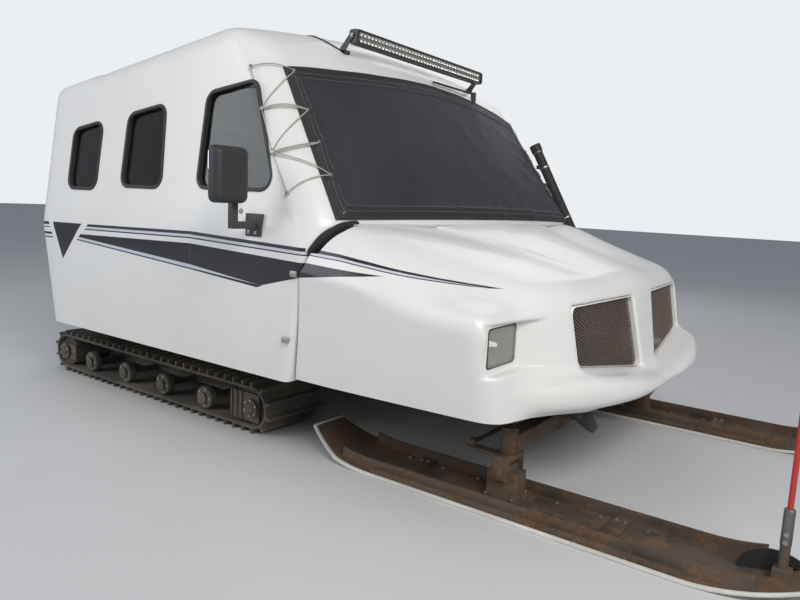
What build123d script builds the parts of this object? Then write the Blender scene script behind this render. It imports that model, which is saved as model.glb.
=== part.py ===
from build123d import *
import math
import os

# Tracked ice fishing vehicle, in millimetres.
# Written about the cab's lower front edge: +X forward, +Y left, +Z up, ground at Z = 0.
# SHIFT_X then puts the origin under the middle of the whole machine.

# Cab
CAB_BOTTOM = 380.0
CAB_REAR = -1880.0
CAB_WALL = 40.0
REAR_CHORDS = 2
PILLAR_CHORDS = 3
BELT_Z = 920.0
BELT_HALF = 1210.0
SILL_HALF = 1155.0
COWL_Z = 1022.0
REAR_CORNER = 105.0
PILLAR_RADIUS = 165.0
SEAM_RADIUS = 26.0
LEAST_RADIUS = 5.0
SEAM_LEAN = 129.0
WINDSCREEN_FOOT = 320.0
WINDSCREEN_BOW = 110.0
WINDSCREEN_LEAN = 0.67
SIDE_LEAN = 0.145
STACK_TOP = 2050.0

# Roof: arched planes that meet across the brow, each through a point of the crown line
BROW_X = -470.0
BROW_Z = 1925.0
ROOF_SLOPE = 0.14
ROOF_PLANES = (
    # x, z, slope
    (BROW_X, BROW_Z, ROOF_SLOPE),
    (BROW_X, BROW_Z, -0.5),
    (-235.0, 1806.0, -1.02),
)
ROOF_CROWN_RADIUS = 6200.0
ROOF_EDGE_RADIUS = 120.0
ROOF_HALF = 1100.0
ROOF_SIDE_SPREAD = 0.4
ROOF_PANEL_DROP = 210.0
REAR_TOP_RADIUS = 85.0

# Side windows: rear x, front x at the foot, front x at the head, foot z, head z at each end
WINDOW_TABLE = (
    # rear_x, foot_front, head_front, foot_z, head_rear_z, head_front_z
    (-1585.0, -1335.0, -1335.0, 1118.0, 1408.0, 1446.0),
    (-1110.0, -800.0, -838.0, 1138.0, 1468.0, 1508.0),
    (-540.0, -72.0, -252.0, 1146.0, 1540.0, 1578.0),
)
WINDOW_CORNER = 48.0
WINDOW_LIP = 14.0
GLASS_THICKNESS = 6.0

# Windscreen opening and its cover
SCREEN_FOOT_HALF = 985.0
SCREEN_HEAD_HALF = 900.0
SCREEN_FOOT_Z = 1085.0
SCREEN_HEAD_Z = 1650.0
SCREEN_CORNER = 70.0
COVER_GAP = 0.4
COVER_THICKNESS = 4.0
COVER_FOOT_HALF = 1085.0
COVER_HEAD_HALF = 1010.0
COVER_FOOT_Z = 1040.0
COVER_HEAD_Z = 1655.0

# Rear door, roof hatch, floor hatches
DOOR_HALF = 330.0
DOOR_BOTTOM = 440.0
DOOR_TOP = 1560.0
DOOR_GAP = 6.0
DOOR_CORNER = 60.0
DOOR_HINGE_OUT = 12.0
DOOR_HINGE_TABLE = (620.0, 1380.0)
HINGE_RADIUS = 9.0
HINGE_LENGTH = 50.0
DOOR_GLASS_HALF = 200.0
DOOR_GLASS_FOOT = 1110.0
DOOR_GLASS_HEAD = 1440.0
HANDLE_Y = 250.0
HANDLE_Z = 980.0
HATCH_X = -1180.0
HATCH_HALF = 270.0
HATCH_LIP = 30.0
HATCH_COAMING = 18.0
HATCH_LID = 22.0
FISHING_HATCHES = (
    # name, centre_x
    ("front", -650.0),
    ("rear", -1330.0),
)
FLOOR_HATCH_HALF_X = 210.0
FLOOR_HATCH_HALF_Y = 190.0
FLOOR_LID = 14.0
FLOOR_LID_LAP = 15.0
SEAT_GAP = 0.3

# Seats, dashboard and steering wheel
SEAT_INNER_Y = 320.0
SEAT_OUTER_Y = 840.0
SEAT_REAR_X = -860.0
SEAT_FRONT_X = -290.0
SEAT_TOP = 740.0
SEAT_BACK_TOP = 1270.0
BENCH_REAR_X = -1740.0
BENCH_FRONT_X = -1020.0
BENCH_INNER_Y = 640.0
BENCH_OUTER_Y = 1100.0
BENCH_TOP = 800.0
DASH_REAR = -150.0
DASH_BOTTOM = 830.0
DASH_TOP = 1010.0
WHEEL_X = -330.0
WHEEL_Y = 580.0
WHEEL_Z = 1040.0
WHEEL_TILT = 28.0
WHEEL_RIM = 185.0
WHEEL_GRIP = 14.0
GRIP_FACETS = 8
COLUMN_RADIUS = 22.0
COLUMN_LENGTH = 200.0

# Front clip: one moulding of bonnet, wings and bumper, open below
CLIP_WALL = 10.0
SEAM_GAP = 14.0
CLIP_BOTTOM = 390.0
CLIP_TABLE = (
    # x, sill_y, shoulder_y, shoulder_z, valley_y, valley_z, dome_y, dome_z, crease_y, crease_z, crown_z
    (-80.0, 1120.0, 1208.0, 850.0, 1188.0, 950.0, 1105.0, 1042.0, 640.0, 1080.0, 1092.0),
    (200.0, 1118.0, 1206.0, 826.0, 1180.0, 940.0, 1100.0, 1021.0, 610.0, 1043.0, 1066.0),
    (560.0, 1100.0, 1190.0, 790.0, 1090.0, 860.0, 900.0, 931.0, 350.0, 955.0, 974.0),
    (900.0, 1075.0, 1160.0, 750.0, 905.0, 775.0, 800.0, 829.0, 290.0, 864.0, 880.0),
    (950.0, 1066.0, 1150.0, 743.0, 885.0, 762.0, 775.0, 796.0, 285.0, 852.0, 868.0),
    (1100.0, 1040.0, 1130.0, 728.0, 840.0, 712.0, 700.0, 694.0, 275.0, 790.0, 815.0),
)
SHOULDER_RADIUS = 60.0
VALLEY_RADIUS = 120.0
DOME_RADIUS = 110.0
NOSE_OUTLINE = (
    # x, y of one half, from the side round the corner to the centre
    (-200.0, 1400.0),
    (800.0, 1178.0),
    (862.0, 1143.0),
    (896.0, 1085.0),
    (985.0, 690.0),
    (1030.0, 150.0),
    (1036.0, 0.0),
)
LIP_OUTLINE = (
    # x, y of one half
    (420.0, 1104.0),
    (800.0, 1078.0),
    (985.0, 900.0),
    (1105.0, 700.0),
    (1190.0, 450.0),
    (1218.0, 0.0),
)
LIP_TOP = 520.0
LIP_RADIUS = 35.0
CLIP_PIVOT_X = 1000.0
CLIP_PIVOT_Z = 240.0
CLIP_ARM_Y = 373.0
CLIP_ARM = 14.0
CLIP_EYE = 24.0
CLIP_PIN = 8.0

# Grille and headlights
GRILLE_OUTLINE = (
    # y, z of one side
    (675.0, 762.0),
    (152.0, 766.0),
    (122.0, 548.0),
    (668.0, 548.0),
)
GRILLE_THICKNESS = 3.0
GRILLE_FRAME = 14.0
GRILLE_RECESS = 28.0
LAMP_INNER = 893.0
LAMP_OUTER = 1098.0
LAMP_FOOT = 579.0
LAMP_HEAD = 720.0
LAMP_FRONT = 872.0
LAMP_LENS = 8.0
LAMP_CORNER = 8.0
POCKET_INNER = 885.0
POCKET_SLANT = 0.95
POCKET_REACH = 150.0
POCKET_OUTER = 1106.0
POCKET_FOOT = 566.0
POCKET_HEAD = 728.0
POCKET_BACK = 800.0
POCKET_SKIN = 10.0

# Chassis
RAIL_INNER_Y = 400.0
RAIL_OUTER_Y = 460.0
RAIL_HEIGHT = 100.0
RAIL_REAR = -1990.0
RAIL_FRONT = 960.0
FRONT_CROSS_X = 930.0
CROSS_TABLE = (-1940.0, -1640.0, -1000.0, -260.0, 120.0, FRONT_CROSS_X)
CROSS_SIZE = 60.0
EYE_Z = 330.0
EYE_PLATE = 14.0
EYE_HOLE = 13.0
EYE_REACH = 60.0
EYE_BACK = 32.0
EYE_HALF = 30.0
FRONT_EYE_X = 1000.0
ENGINE_LENGTH = 560.0
ENGINE_WIDTH = 480.0
ENGINE_HEIGHT = 390.0
ENGINE_X = 450.0
ENGINE_FOOT = 20.0
STEP_REAR = -2260.0
STEP_HALF = 420.0
STEP_Z = 430.0
STEP_THICKNESS = 30.0

# Tracks: a belt with cross lugs round a front drum and a rear sprocket
TRACK_INNER_Y = 555.0
TRACK_OUTER_Y = 930.0
TRACK_REAR_X = -2125.0
TRACK_FRONT_X = -455.0
TRACK_RADIUS = 125.0
TRACK_BELT = 12.0
LUG_HEIGHT = 24.0
LUG_THICKNESS = 12.0
LUG_COUNT = 62
ROAD_WHEEL_TABLE = (-1880.0, -1530.0, -1180.0, -830.0)
ROAD_WHEEL_RADIUS = 58.0
ROAD_WHEEL_SIDES = 24
AXLE_SIDES = 12
WHEEL_ROW_TABLE = (
    # inner y, outer y of each wheel across the belt
    (575.0, 615.0),
    (870.0, 910.0),
)
BEAM_INNER_Y = 640.0
BEAM_OUTER_Y = 700.0
BEAM_FOOT = 75.0
BEAM_HEAD = 175.0
AXLE_RADIUS = 16.0
END_PLATE_Y = 914.0
END_PLATE = 10.0
END_PLATE_REACH = 45.0
END_PLATE_HALF = 68.0
BEARING = 8.0
BEARING_RADIUS = 38.0
RIB = 10.0
RIB_TABLE = (-595.0, -560.0, -525.0)
ARM_TABLE = (-1700.0, -1000.0)
ARM_INNER_Y = 480.0
ARM_OUTER_Y = 520.0

# Front axle and skis
KINGPIN_X = 820.0
KINGPIN_Y = 790.0
AXLE_Z = 240.0
AXLE_TUBE = 70.0
BARREL_RADIUS = 32.0
BARREL_FOOT = 200.0
BARREL_HEAD = 290.0
KINGPIN_RADIUS = 14.0
YOKE_HALF_X = 36.0
YOKE_HALF_Y = 66.0
YOKE_PLATE = 12.0
SADDLE_HALF_Y = 44.0
SADDLE_HALF_X = 60.0
SKI_PIVOT_Z = 135.0
SKI_PIN = 12.0
SKI_TAIL = -90.0
SKI_TIP = 2010.0
SKI_FLAT_REAR = 250.0
SKI_FLAT_FRONT = 1520.0
SKI_HALF = 162.0
SKI_PAN = 6.0
SKI_BASE = 12.0
SKI_RAIL_HEIGHT = 46.0
SKI_RAIL = 10.0
SKI_RAIL_Y = 118.0
SKI_TIP_RISE = 190.0
SKI_TAIL_RISE = 110.0
MARKER_X = 1755.0
MARKER_RADIUS = 9.0
MARKER_TOP = 715.0
MARKER_SOCKET = 15.0
TIE_ROD_BACK = 150.0
TIE_ROD_RADIUS = 10.0
TIE_EYE_LIP = 3.0
TIE_EYE_RADIUS = 16.0

# Front fittings
BAR_HALF = 560.0
BAR_FRONT = -185.0
BAR_DEPTH = 60.0
BAR_TOP = 1896.0
BAR_HEIGHT = 74.0
BAR_FOOT_Y = 590.0
MIRROR_X = -110.0
MIRROR_Y = 1365.0
MIRROR_Z = 1190.0
MIRROR_WIDTH = 170.0
MIRROR_HEIGHT = 215.0
MIRROR_DEPTH = 62.0
MIRROR_PLATE_X = -150.0
MIRROR_PLATE_Z = 1003.0
PIPE_FOOT = (188.0, 1247.0, 955.0)
PIPE_HEAD = (-104.0, 1168.0, 1530.0)
PIPE_RADIUS = 30.0
PIPE_CAP = 46.0
PIPE_CAP_RADIUS = 36.0
PIPE_CLAMP = 24.0
PIPE_CLAMPS = (0.2, 0.75)
WIPER_Y = 450.0
WIPER_LENGTH = 420.0

SHIFT_X = -(STEP_REAR + SKI_TIP) / 2

BIG = 6000.0


def block(x0, x1, y0, y1, z0, z1):
    """A box from its six faces."""
    size = (x1 - x0, y1 - y0, z1 - z0)
    centre = ((x0 + x1) / 2, (y0 + y1) / 2, (z0 + z1) / 2)
    return Pos(*centre) * Box(*size)


def faceted_rod(x, z, y0, y1, radius, sides):
    """A rod along Y of a regular polygon, for wheels that lie out of sight."""
    face = Plane.XZ * RegularPolygon(radius, sides)
    return Pos(x, max(y0, y1), z) * extrude(face, abs(y1 - y0))


def rod_y(x, z, y0, y1, radius):
    """A round bar along Y."""
    return Pos(x, (y0 + y1) / 2, z) * Rot(90, 0, 0) * Cylinder(radius, abs(y1 - y0))


def rod_x(y, z, x0, x1, radius):
    """A round bar along X."""
    return Pos((x0 + x1) / 2, y, z) * Rot(0, 90, 0) * Cylinder(radius, abs(x1 - x0))


def rod_z(x, y, z0, z1, radius):
    """A round bar along Z."""
    return Pos(x, y, (z0 + z1) / 2) * Cylinder(radius, abs(z1 - z0))


def flat_outline(points, corner=0.0):
    """A face in the XY plane from its corners, rounded where a radius is given."""
    points = list(points)
    ends = points[1:] + points[:1]
    turn = sum(a[0] * b[1] - b[0] * a[1] for a, b in zip(points, ends))
    if turn < 0:
        points.reverse()
    face = Face(Wire(Polyline(*points, close=True)))
    if corner:
        face = fillet(face.vertices(), corner)
    return face


def prism_y(points_xz, y0, y1, corner=0.0):
    """An outline in X and Z drawn out along Y."""
    face = flat_outline([(x, z) for x, z in points_xz], corner)
    return Pos(0, y1, 0) * (Plane.XZ * extrude(face, y1 - y0))


def prism_x(points_yz, x0, x1, corner=0.0):
    """An outline in Y and Z drawn out along X."""
    face = flat_outline([(y, z) for y, z in points_yz], corner)
    return Pos(x0, 0, 0) * (Plane.YZ * extrude(face, x1 - x0))


def prism_z(points_xy, z0, z1, corner=0.0):
    """An outline in X and Y drawn out along Z."""
    face = flat_outline(points_xy, corner)
    return Pos(0, 0, z0) * extrude(face, z1 - z0)


def mirrored(shape):
    """The same shape on the other side of the machine."""
    return mirror(shape, about=Plane.XZ)


def chord_points(centre, radius, start, end, chords):
    """Points along an arc from one angle to another, for panels that are flat between them."""
    turns = [math.radians(start + (end - start) * index / chords) for index in range(chords + 1)]
    return [(centre[0] + radius * math.cos(turn), centre[1] + radius * math.sin(turn)) for turn in turns]


def lining_section(rear, front, half, rear_radius, front_radius, bow, z):
    """One level section of the cab's lining: flat panels inside the same corners and bow."""
    front_y = half - front_radius
    left = chord_points((rear + rear_radius, half - rear_radius), rear_radius, 180, 90, REAR_CHORDS)
    left += chord_points((front - bow - front_radius, front_y), front_radius, 90, 0, PILLAR_CHORDS)
    left.append((front - bow / 4, front_y / 2))
    points = left + [(front, 0.0)] + [(x, -y) for x, y in reversed(left)]
    return Face(Wire(Polyline(*[(x, y, z) for x, y in points], close=True)))


def plan_section(rear, front, half, rear_radius, front_radius, bow, z):
    """One level section of the cab: round rear corners, round front pillars, bowed front."""
    k = math.sqrt(0.5)
    front_y = half - front_radius
    front_side_x = front - bow - front_radius
    front_mid_x = front_side_x + front_radius * k
    front_mid_y = front_y + front_radius * k
    rear_y = half - rear_radius
    rear_side_x = rear + rear_radius
    rear_mid_x = rear_side_x - rear_radius * k
    rear_mid_y = rear_y + rear_radius * k
    edges = [
        ThreePointArc((rear, -rear_y, z), (rear_mid_x, -rear_mid_y, z), (rear_side_x, -half, z)),
        Line((rear_side_x, -half, z), (front_side_x, -half, z)),
        ThreePointArc((front_side_x, -half, z), (front_mid_x, -front_mid_y, z), (front - bow, -front_y, z)),
        ThreePointArc((front - bow, -front_y, z), (front, 0, z), (front - bow, front_y, z)),
        ThreePointArc((front - bow, front_y, z), (front_mid_x, front_mid_y, z), (front_side_x, half, z)),
        Line((front_side_x, half, z), (rear_side_x, half, z)),
        ThreePointArc((rear_side_x, half, z), (rear_mid_x, rear_mid_y, z), (rear, rear_y, z)),
        Line((rear, rear_y, z), (rear, -rear_y, z)),
    ]
    return Face(Wire(edges))


def arch(x, z, slope, inset, flat):
    """The roof's crown with its edges, round or flat, drawn out along a plane that rises at a slope."""
    half = ROOF_HALF - inset
    radius = ROOF_EDGE_RADIUS - inset * 0.5
    crown = z - inset * math.hypot(1.0, slope)
    drop = half * half / (2 * ROOF_CROWN_RADIUS)
    shoulder_y = half - radius
    shoulder_z = crown - shoulder_y * shoulder_y / (2 * ROOF_CROWN_RADIUS)
    side_z = crown - drop - radius
    k = math.sqrt(0.5)
    mid = (half - radius + radius * k, shoulder_z - radius + radius * k)
    bottom = -BIG / 4
    foot = half + ROOF_SIDE_SPREAD * (side_z - bottom)
    if flat:
        quarter = (shoulder_y / 2, crown - shoulder_y * shoulder_y / (8 * ROOF_CROWN_RADIUS))
        side = [(foot, bottom), (half, side_z), mid, (shoulder_y, shoulder_z), quarter]
        points = side + [(0.0, crown)] + [(-y, up) for y, up in reversed(side)]
        outline = Wire(Polyline(*points, close=True))
    else:
        outline = Wire([
            ThreePointArc((-shoulder_y, shoulder_z), (0, crown), (shoulder_y, shoulder_z)),
            ThreePointArc((shoulder_y, shoulder_z), mid, (half, side_z)),
            Line((half, side_z), (foot, bottom)),
            Line((foot, bottom), (-foot, bottom)),
            Line((-foot, bottom), (-half, side_z)),
            ThreePointArc((-half, side_z), (-mid[0], mid[1]), (-shoulder_y, shoulder_z)),
        ])
    face = Pos(x, 0, 0) * (Plane.YZ * Face(outline))
    length = BIG / 2
    forward = extrude(face, length, dir=(1, 0, slope))
    backward = extrude(face, length, dir=(-1, 0, -slope))
    return forward + backward


def cab_solid(inset=0.0, flat=False):
    """The cab's outer form drawn in by an even distance, with round corners or flat panels inside them."""
    windscreen_head = WINDSCREEN_FOOT - WINDSCREEN_LEAN * (STACK_TOP - COWL_Z)
    top_half = BELT_HALF - SIDE_LEAN * (STACK_TOP - BELT_Z)
    cowl_half = BELT_HALF - SIDE_LEAN * (COWL_Z - BELT_Z)
    table = (
        # rear, front, half, rear_radius, front_radius, bow, z
        (CAB_REAR, 0.0, SILL_HALF, REAR_CORNER, SEAM_RADIUS, 0.5, CAB_BOTTOM + inset),
        (CAB_REAR, SEAM_LEAN, BELT_HALF, REAR_CORNER, SEAM_RADIUS, 0.5, BELT_Z),
        (CAB_REAR, WINDSCREEN_FOOT, cowl_half, REAR_CORNER, PILLAR_RADIUS, WINDSCREEN_BOW, COWL_Z),
        (CAB_REAR, windscreen_head, top_half, REAR_CORNER, PILLAR_RADIUS, WINDSCREEN_BOW, STACK_TOP),
    )
    front_inset = inset * math.hypot(1.0, WINDSCREEN_LEAN) if inset else 0.0
    levels = []
    for rear, front, half, rear_radius, front_radius, bow, z in table:
        front_in = front_inset if z > BELT_Z else inset
        section = lining_section if flat else plan_section
        levels.append(section(
            rear + inset, front - front_in, half - inset,
            max(rear_radius - inset, LEAST_RADIUS), max(front_radius - inset, LEAST_RADIUS), bow, z))
    stack = loft(levels, ruled=True)
    top_rear = roof_plane_z(CAB_REAR + inset, inset)
    profile = flat_outline([
        (CAB_REAR + inset, -BIG / 4), (BIG / 4, -BIG / 4),
        (BIG / 4, roof_plane_z(BIG / 4, inset)), (CAB_REAR + inset, top_rear)])
    corner = profile.vertices().sort_by_distance((CAB_REAR + inset, top_rear, 0))[0]
    profile = fillet(corner, REAR_TOP_RADIUS - inset)
    rear_profile = Pos(0, BIG / 3, 0) * (Plane.XZ * extrude(profile, 2 * BIG / 3))
    form = stack & rear_profile
    for x, z, slope in ROOF_PLANES:
        form &= arch(x, z, slope, inset, flat)
    return form


def window_outline(row, grow=0.0):
    """The corners of one side window, grown evenly all round."""
    rear_x, foot_front, head_front, foot_z, head_rear_z, head_front_z = row
    return [
        (rear_x - grow, foot_z - grow),
        (foot_front + grow, foot_z - grow),
        (head_front + grow, head_front_z + grow),
        (rear_x - grow, head_rear_z + grow),
    ]


def side_window_cutter(grow, y0, y1):
    """All three side windows as one cutting tool."""
    cutter = None
    for row in WINDOW_TABLE:
        prism = prism_y(window_outline(row, grow), y0, y1, WINDOW_CORNER + grow)
        cutter = prism if cutter is None else cutter + prism
    return cutter


def screen_prism(foot_half, head_half, foot_z, head_z, corner):
    """An upright outline across the cab, drawn out forward through the windscreen."""
    points = [(-foot_half, foot_z), (foot_half, foot_z), (head_half, head_z), (-head_half, head_z)]
    return prism_x(points, BROW_X, BIG / 6, corner)


def split_plane_prism(points_xz):
    """A cutting block across the whole width."""
    return prism_y(points_xz, -BIG / 3, BIG / 3)


def roof_plane_z(x, drop=0.0):
    """Height of the roof's crown line behind the brow."""
    return BROW_Z + ROOF_SLOPE * (x - BROW_X) - drop


def hatch_plane():
    """The local plane of the roof hatch, on the crown line."""
    angle = math.degrees(math.atan(ROOF_SLOPE))
    return Pos(HATCH_X, 0, roof_plane_z(HATCH_X)) * Rot(0, -angle, 0)


def make_cab(parts):
    """Cab panels, glass, doors and hatches."""
    shell = cab_solid() - cab_solid(CAB_WALL, flat=True)
    shell -= side_window_cutter(0, -BIG / 3, BIG / 3)
    shell -= screen_prism(SCREEN_FOOT_HALF, SCREEN_HEAD_HALF, SCREEN_FOOT_Z, SCREEN_HEAD_Z, SCREEN_CORNER)
    door_points = [
        (-DOOR_HALF, DOOR_BOTTOM), (DOOR_HALF, DOOR_BOTTOM), (DOOR_HALF, DOOR_TOP), (-DOOR_HALF, DOOR_TOP)]
    shell -= prism_x(door_points, CAB_REAR - 100, CAB_REAR + 200, DOOR_CORNER)
    shell -= hatch_plane() * block(-HATCH_HALF, HATCH_HALF, -HATCH_HALF, HATCH_HALF, -200, 200)
    for _, centre_x in FISHING_HATCHES:
        shell -= block(
            centre_x - FLOOR_HATCH_HALF_X, centre_x + FLOOR_HATCH_HALF_X,
            -FLOOR_HATCH_HALF_Y, FLOOR_HATCH_HALF_Y, CAB_BOTTOM - 50, CAB_BOTTOM + 100)

    floor_top = CAB_BOTTOM + CAB_WALL
    floor_block = split_plane_prism(
        [(-BIG / 2, 0), (BIG / 2, 0), (BIG / 2, floor_top), (-BIG / 2, floor_top)])
    roof_line = [
        (-BIG / 2, roof_plane_z(-BIG / 2, ROOF_PANEL_DROP)),
        (BIG / 2, roof_plane_z(BIG / 2, ROOF_PANEL_DROP)), (BIG / 2, BIG), (-BIG / 2, BIG)]
    roof_block = split_plane_prism(roof_line)
    rear_split = CAB_REAR + REAR_CORNER + 20
    rear_block = split_plane_prism([(-BIG, -BIG), (rear_split, -BIG), (rear_split, BIG), (-BIG, BIG)])
    brow_x = -10.0 - WINDSCREEN_LEAN * 0.62 * (BROW_Z - COWL_Z - 60)
    front_split = [
        (-40.0, 0.0), (-10.0, COWL_Z + 60), (brow_x, BROW_Z + 20), (BIG / 2, BROW_Z + 20), (BIG / 2, 0.0)]
    front_block = split_plane_prism(front_split)

    parts["cab_floor"] = shell & floor_block
    rest = shell - floor_block
    parts["cab_roof"] = (rest & roof_block)
    rest = rest - roof_block
    parts["cab_rear_wall"] = rest & rear_block
    rest = rest - rear_block
    parts["cab_front_frame"] = rest & front_block
    rest = rest - front_block
    right_half = block(-BIG, BIG, -BIG, 0, -BIG, BIG)
    parts["cab_side_right"] = rest & right_half
    parts["cab_side_left"] = rest - right_half

    glass_layer = cab_solid(WINDOW_LIP) - cab_solid(WINDOW_LIP + GLASS_THICKNESS)
    side_glass = glass_layer & side_window_cutter(-SEAT_GAP, -BIG / 3, BIG / 3)
    parts["side_glass"] = side_glass
    parts["windscreen_glass"] = glass_layer & screen_prism(
        SCREEN_FOOT_HALF - SEAT_GAP, SCREEN_HEAD_HALF - SEAT_GAP,
        SCREEN_FOOT_Z + SEAT_GAP, SCREEN_HEAD_Z - SEAT_GAP, SCREEN_CORNER)
    cover_layer = cab_solid(-COVER_GAP - COVER_THICKNESS) - cab_solid(-COVER_GAP)
    parts["windscreen_cover"] = cover_layer & screen_prism(
        COVER_FOOT_HALF, COVER_HEAD_HALF, COVER_FOOT_Z, COVER_HEAD_Z, 20.0)


def make_doors(parts):
    """Rear door with its hinges, roof hatch and floor hatches."""
    half = DOOR_HALF - DOOR_GAP
    foot = DOOR_BOTTOM + DOOR_GAP
    head = DOOR_TOP - DOOR_GAP
    inner_x = CAB_REAR + CAB_WALL
    glass_points = [
        (-DOOR_GLASS_HALF, DOOR_GLASS_FOOT), (DOOR_GLASS_HALF, DOOR_GLASS_FOOT),
        (DOOR_GLASS_HALF, DOOR_GLASS_HEAD), (-DOOR_GLASS_HALF, DOOR_GLASS_HEAD)]
    door_points = [(-half, foot), (half, foot), (half, head), (-half, head)]
    door = prism_x(door_points, CAB_REAR, inner_x, DOOR_CORNER - DOOR_GAP)
    door -= prism_x(glass_points, CAB_REAR - 10, inner_x + 10, WINDOW_CORNER)
    axis_x = CAB_REAR - DOOR_HINGE_OUT
    wall = parts["cab_rear_wall"]
    for hinge_z in DOOR_HINGE_TABLE:
        top = hinge_z + HINGE_LENGTH / 2
        door += rod_z(axis_x, -DOOR_HALF, hinge_z - HINGE_LENGTH / 2, top, HINGE_RADIUS)
        door += block(axis_x, CAB_REAR, -DOOR_HALF, -half + 40, hinge_z - HINGE_LENGTH / 2, top)
        wall += rod_z(axis_x, -DOOR_HALF, top + SEAT_GAP, top + HINGE_LENGTH, HINGE_RADIUS)
        wall += block(axis_x, CAB_REAR, -DOOR_HALF - 45, -DOOR_HALF, top + SEAT_GAP, top + HINGE_LENGTH)
    parts["cab_rear_wall"] = wall
    parts["rear_door"] = door
    glass_x = CAB_REAR + WINDOW_LIP
    glass = prism_x(glass_points, glass_x, glass_x + GLASS_THICKNESS, WINDOW_CORNER)
    parts["rear_door_glass"] = glass
    stand_off = 34.0
    handle_x = CAB_REAR - stand_off
    handle = rod_z(handle_x, HANDLE_Y, HANDLE_Z - 90, HANDLE_Z + 90, 9)
    for end_z in (HANDLE_Z - 80, HANDLE_Z + 80):
        handle += rod_x(HANDLE_Y, end_z, handle_x, CAB_REAR, 8)
    parts["rear_door_handle"] = handle

    frame = hatch_plane()
    outer = HATCH_HALF + HATCH_LIP
    coaming = block(-outer, outer, -outer, outer, -CAB_WALL / 2, HATCH_COAMING)
    coaming -= block(-HATCH_HALF, HATCH_HALF, -HATCH_HALF, HATCH_HALF, -CAB_WALL, CAB_WALL)
    parts["cab_roof"] += frame * coaming
    lid_foot = HATCH_COAMING + SEAT_GAP
    lid = Pos(0, 0, lid_foot + HATCH_LID / 2) * Box(2 * outer, 2 * outer, HATCH_LID)
    lid = fillet(lid.edges().filter_by(Axis.Z), 40)
    lid = fillet(lid.faces().sort_by(Axis.Z)[-1].edges(), 10)
    parts["roof_hatch_lid"] = frame * lid

    floor_top = CAB_BOTTOM + CAB_WALL + SEAT_GAP
    for name, centre_x in FISHING_HATCHES:
        half_x = FLOOR_HATCH_HALF_X + FLOOR_LID_LAP
        half_y = FLOOR_HATCH_HALF_Y + FLOOR_LID_LAP
        lid = block(centre_x - half_x, centre_x + half_x, -half_y, half_y, floor_top, floor_top + FLOOR_LID)
        lid = fillet(lid.edges().filter_by(Axis.Z), 20)
        parts[f"floor_hatch_{name}"] = lid


def wheel_frame():
    """The steering wheel's own frame: Z along the column, towards the driver."""
    return Pos(WHEEL_X, WHEEL_Y, WHEEL_Z) * Rot(0, WHEEL_TILT - 90, 0)


def make_inside(parts):
    """Seats, benches, dashboard and steering wheel."""
    room = cab_solid(CAB_WALL + SEAT_GAP, flat=True)
    floor_top = CAB_BOTTOM + CAB_WALL
    seat_profile = [
        (SEAT_REAR_X + 60, floor_top), (SEAT_FRONT_X - 60, floor_top), (SEAT_FRONT_X, SEAT_TOP - 90),
        (SEAT_FRONT_X, SEAT_TOP), (SEAT_REAR_X + 120, SEAT_TOP - 30), (SEAT_REAR_X + 60, SEAT_BACK_TOP),
        (SEAT_REAR_X - 40, SEAT_BACK_TOP), (SEAT_REAR_X, SEAT_TOP - 60)]
    seat_left = prism_y(seat_profile, SEAT_INNER_Y, SEAT_OUTER_Y)
    bench_left = block(BENCH_REAR_X, BENCH_FRONT_X, BENCH_INNER_Y, BENCH_OUTER_Y, floor_top, BENCH_TOP)
    parts["front_seats"] = both_sides(seat_left)
    parts["rear_benches"] = both_sides(bench_left)
    dash_profile = [
        (DASH_REAR, DASH_BOTTOM + 40), (DASH_REAR + 60, DASH_BOTTOM), (BIG / 8, DASH_BOTTOM),
        (BIG / 8, DASH_TOP), (DASH_REAR + 30, DASH_TOP)]
    dash = prism_y(dash_profile, -BIG / 4, BIG / 4) & room
    frame = wheel_frame()
    hub_depth = 26.0
    column = Pos(0, 0, -hub_depth - SEAT_GAP - COLUMN_LENGTH / 2) * Cylinder(COLUMN_RADIUS, COLUMN_LENGTH)
    parts["dashboard"] = dash + frame * column
    grip = Plane.XZ * (Pos(WHEEL_RIM, 0, 0) * RegularPolygon(WHEEL_GRIP, GRIP_FACETS))
    wheel = revolve(grip, Axis.Z)
    wheel += Pos(0, 0, -hub_depth / 2) * Cylinder(45, hub_depth)
    for turn in (90, 210, 330):
        spoke = Pos(WHEEL_RIM / 2, 0, -6) * Box(WHEEL_RIM, 30, 8)
        wheel += Rot(0, 0, turn) * spoke
    parts["steering_wheel"] = frame * wheel


def soft_edges(points, radii, flat):
    """Edges of a closed outline whose corners are arcs, or flat across, where a radius is given."""
    corners = []
    for index, (point, radius) in enumerate(zip(points, radii)):
        here = Vector(*point)
        back = (Vector(*points[index - 1]) - here).normalized()
        ahead = (Vector(*points[(index + 1) % len(points)]) - here).normalized()
        half = math.radians(back.get_angle(ahead)) / 2
        reach = radius / math.tan(half)
        middle = here + (back + ahead).normalized() * (radius / math.sin(half) - radius)
        corners.append((here + back * reach, middle, here + ahead * reach))
    edges = []
    for index, (start, middle, end) in enumerate(corners):
        if radii[index] and flat:
            edges.append(Line(start, end))
        elif radii[index]:
            edges.append(ThreePointArc(start, middle, end))
        edges.append(Line(end, corners[(index + 1) % len(corners)][0]))
    return edges


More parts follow.
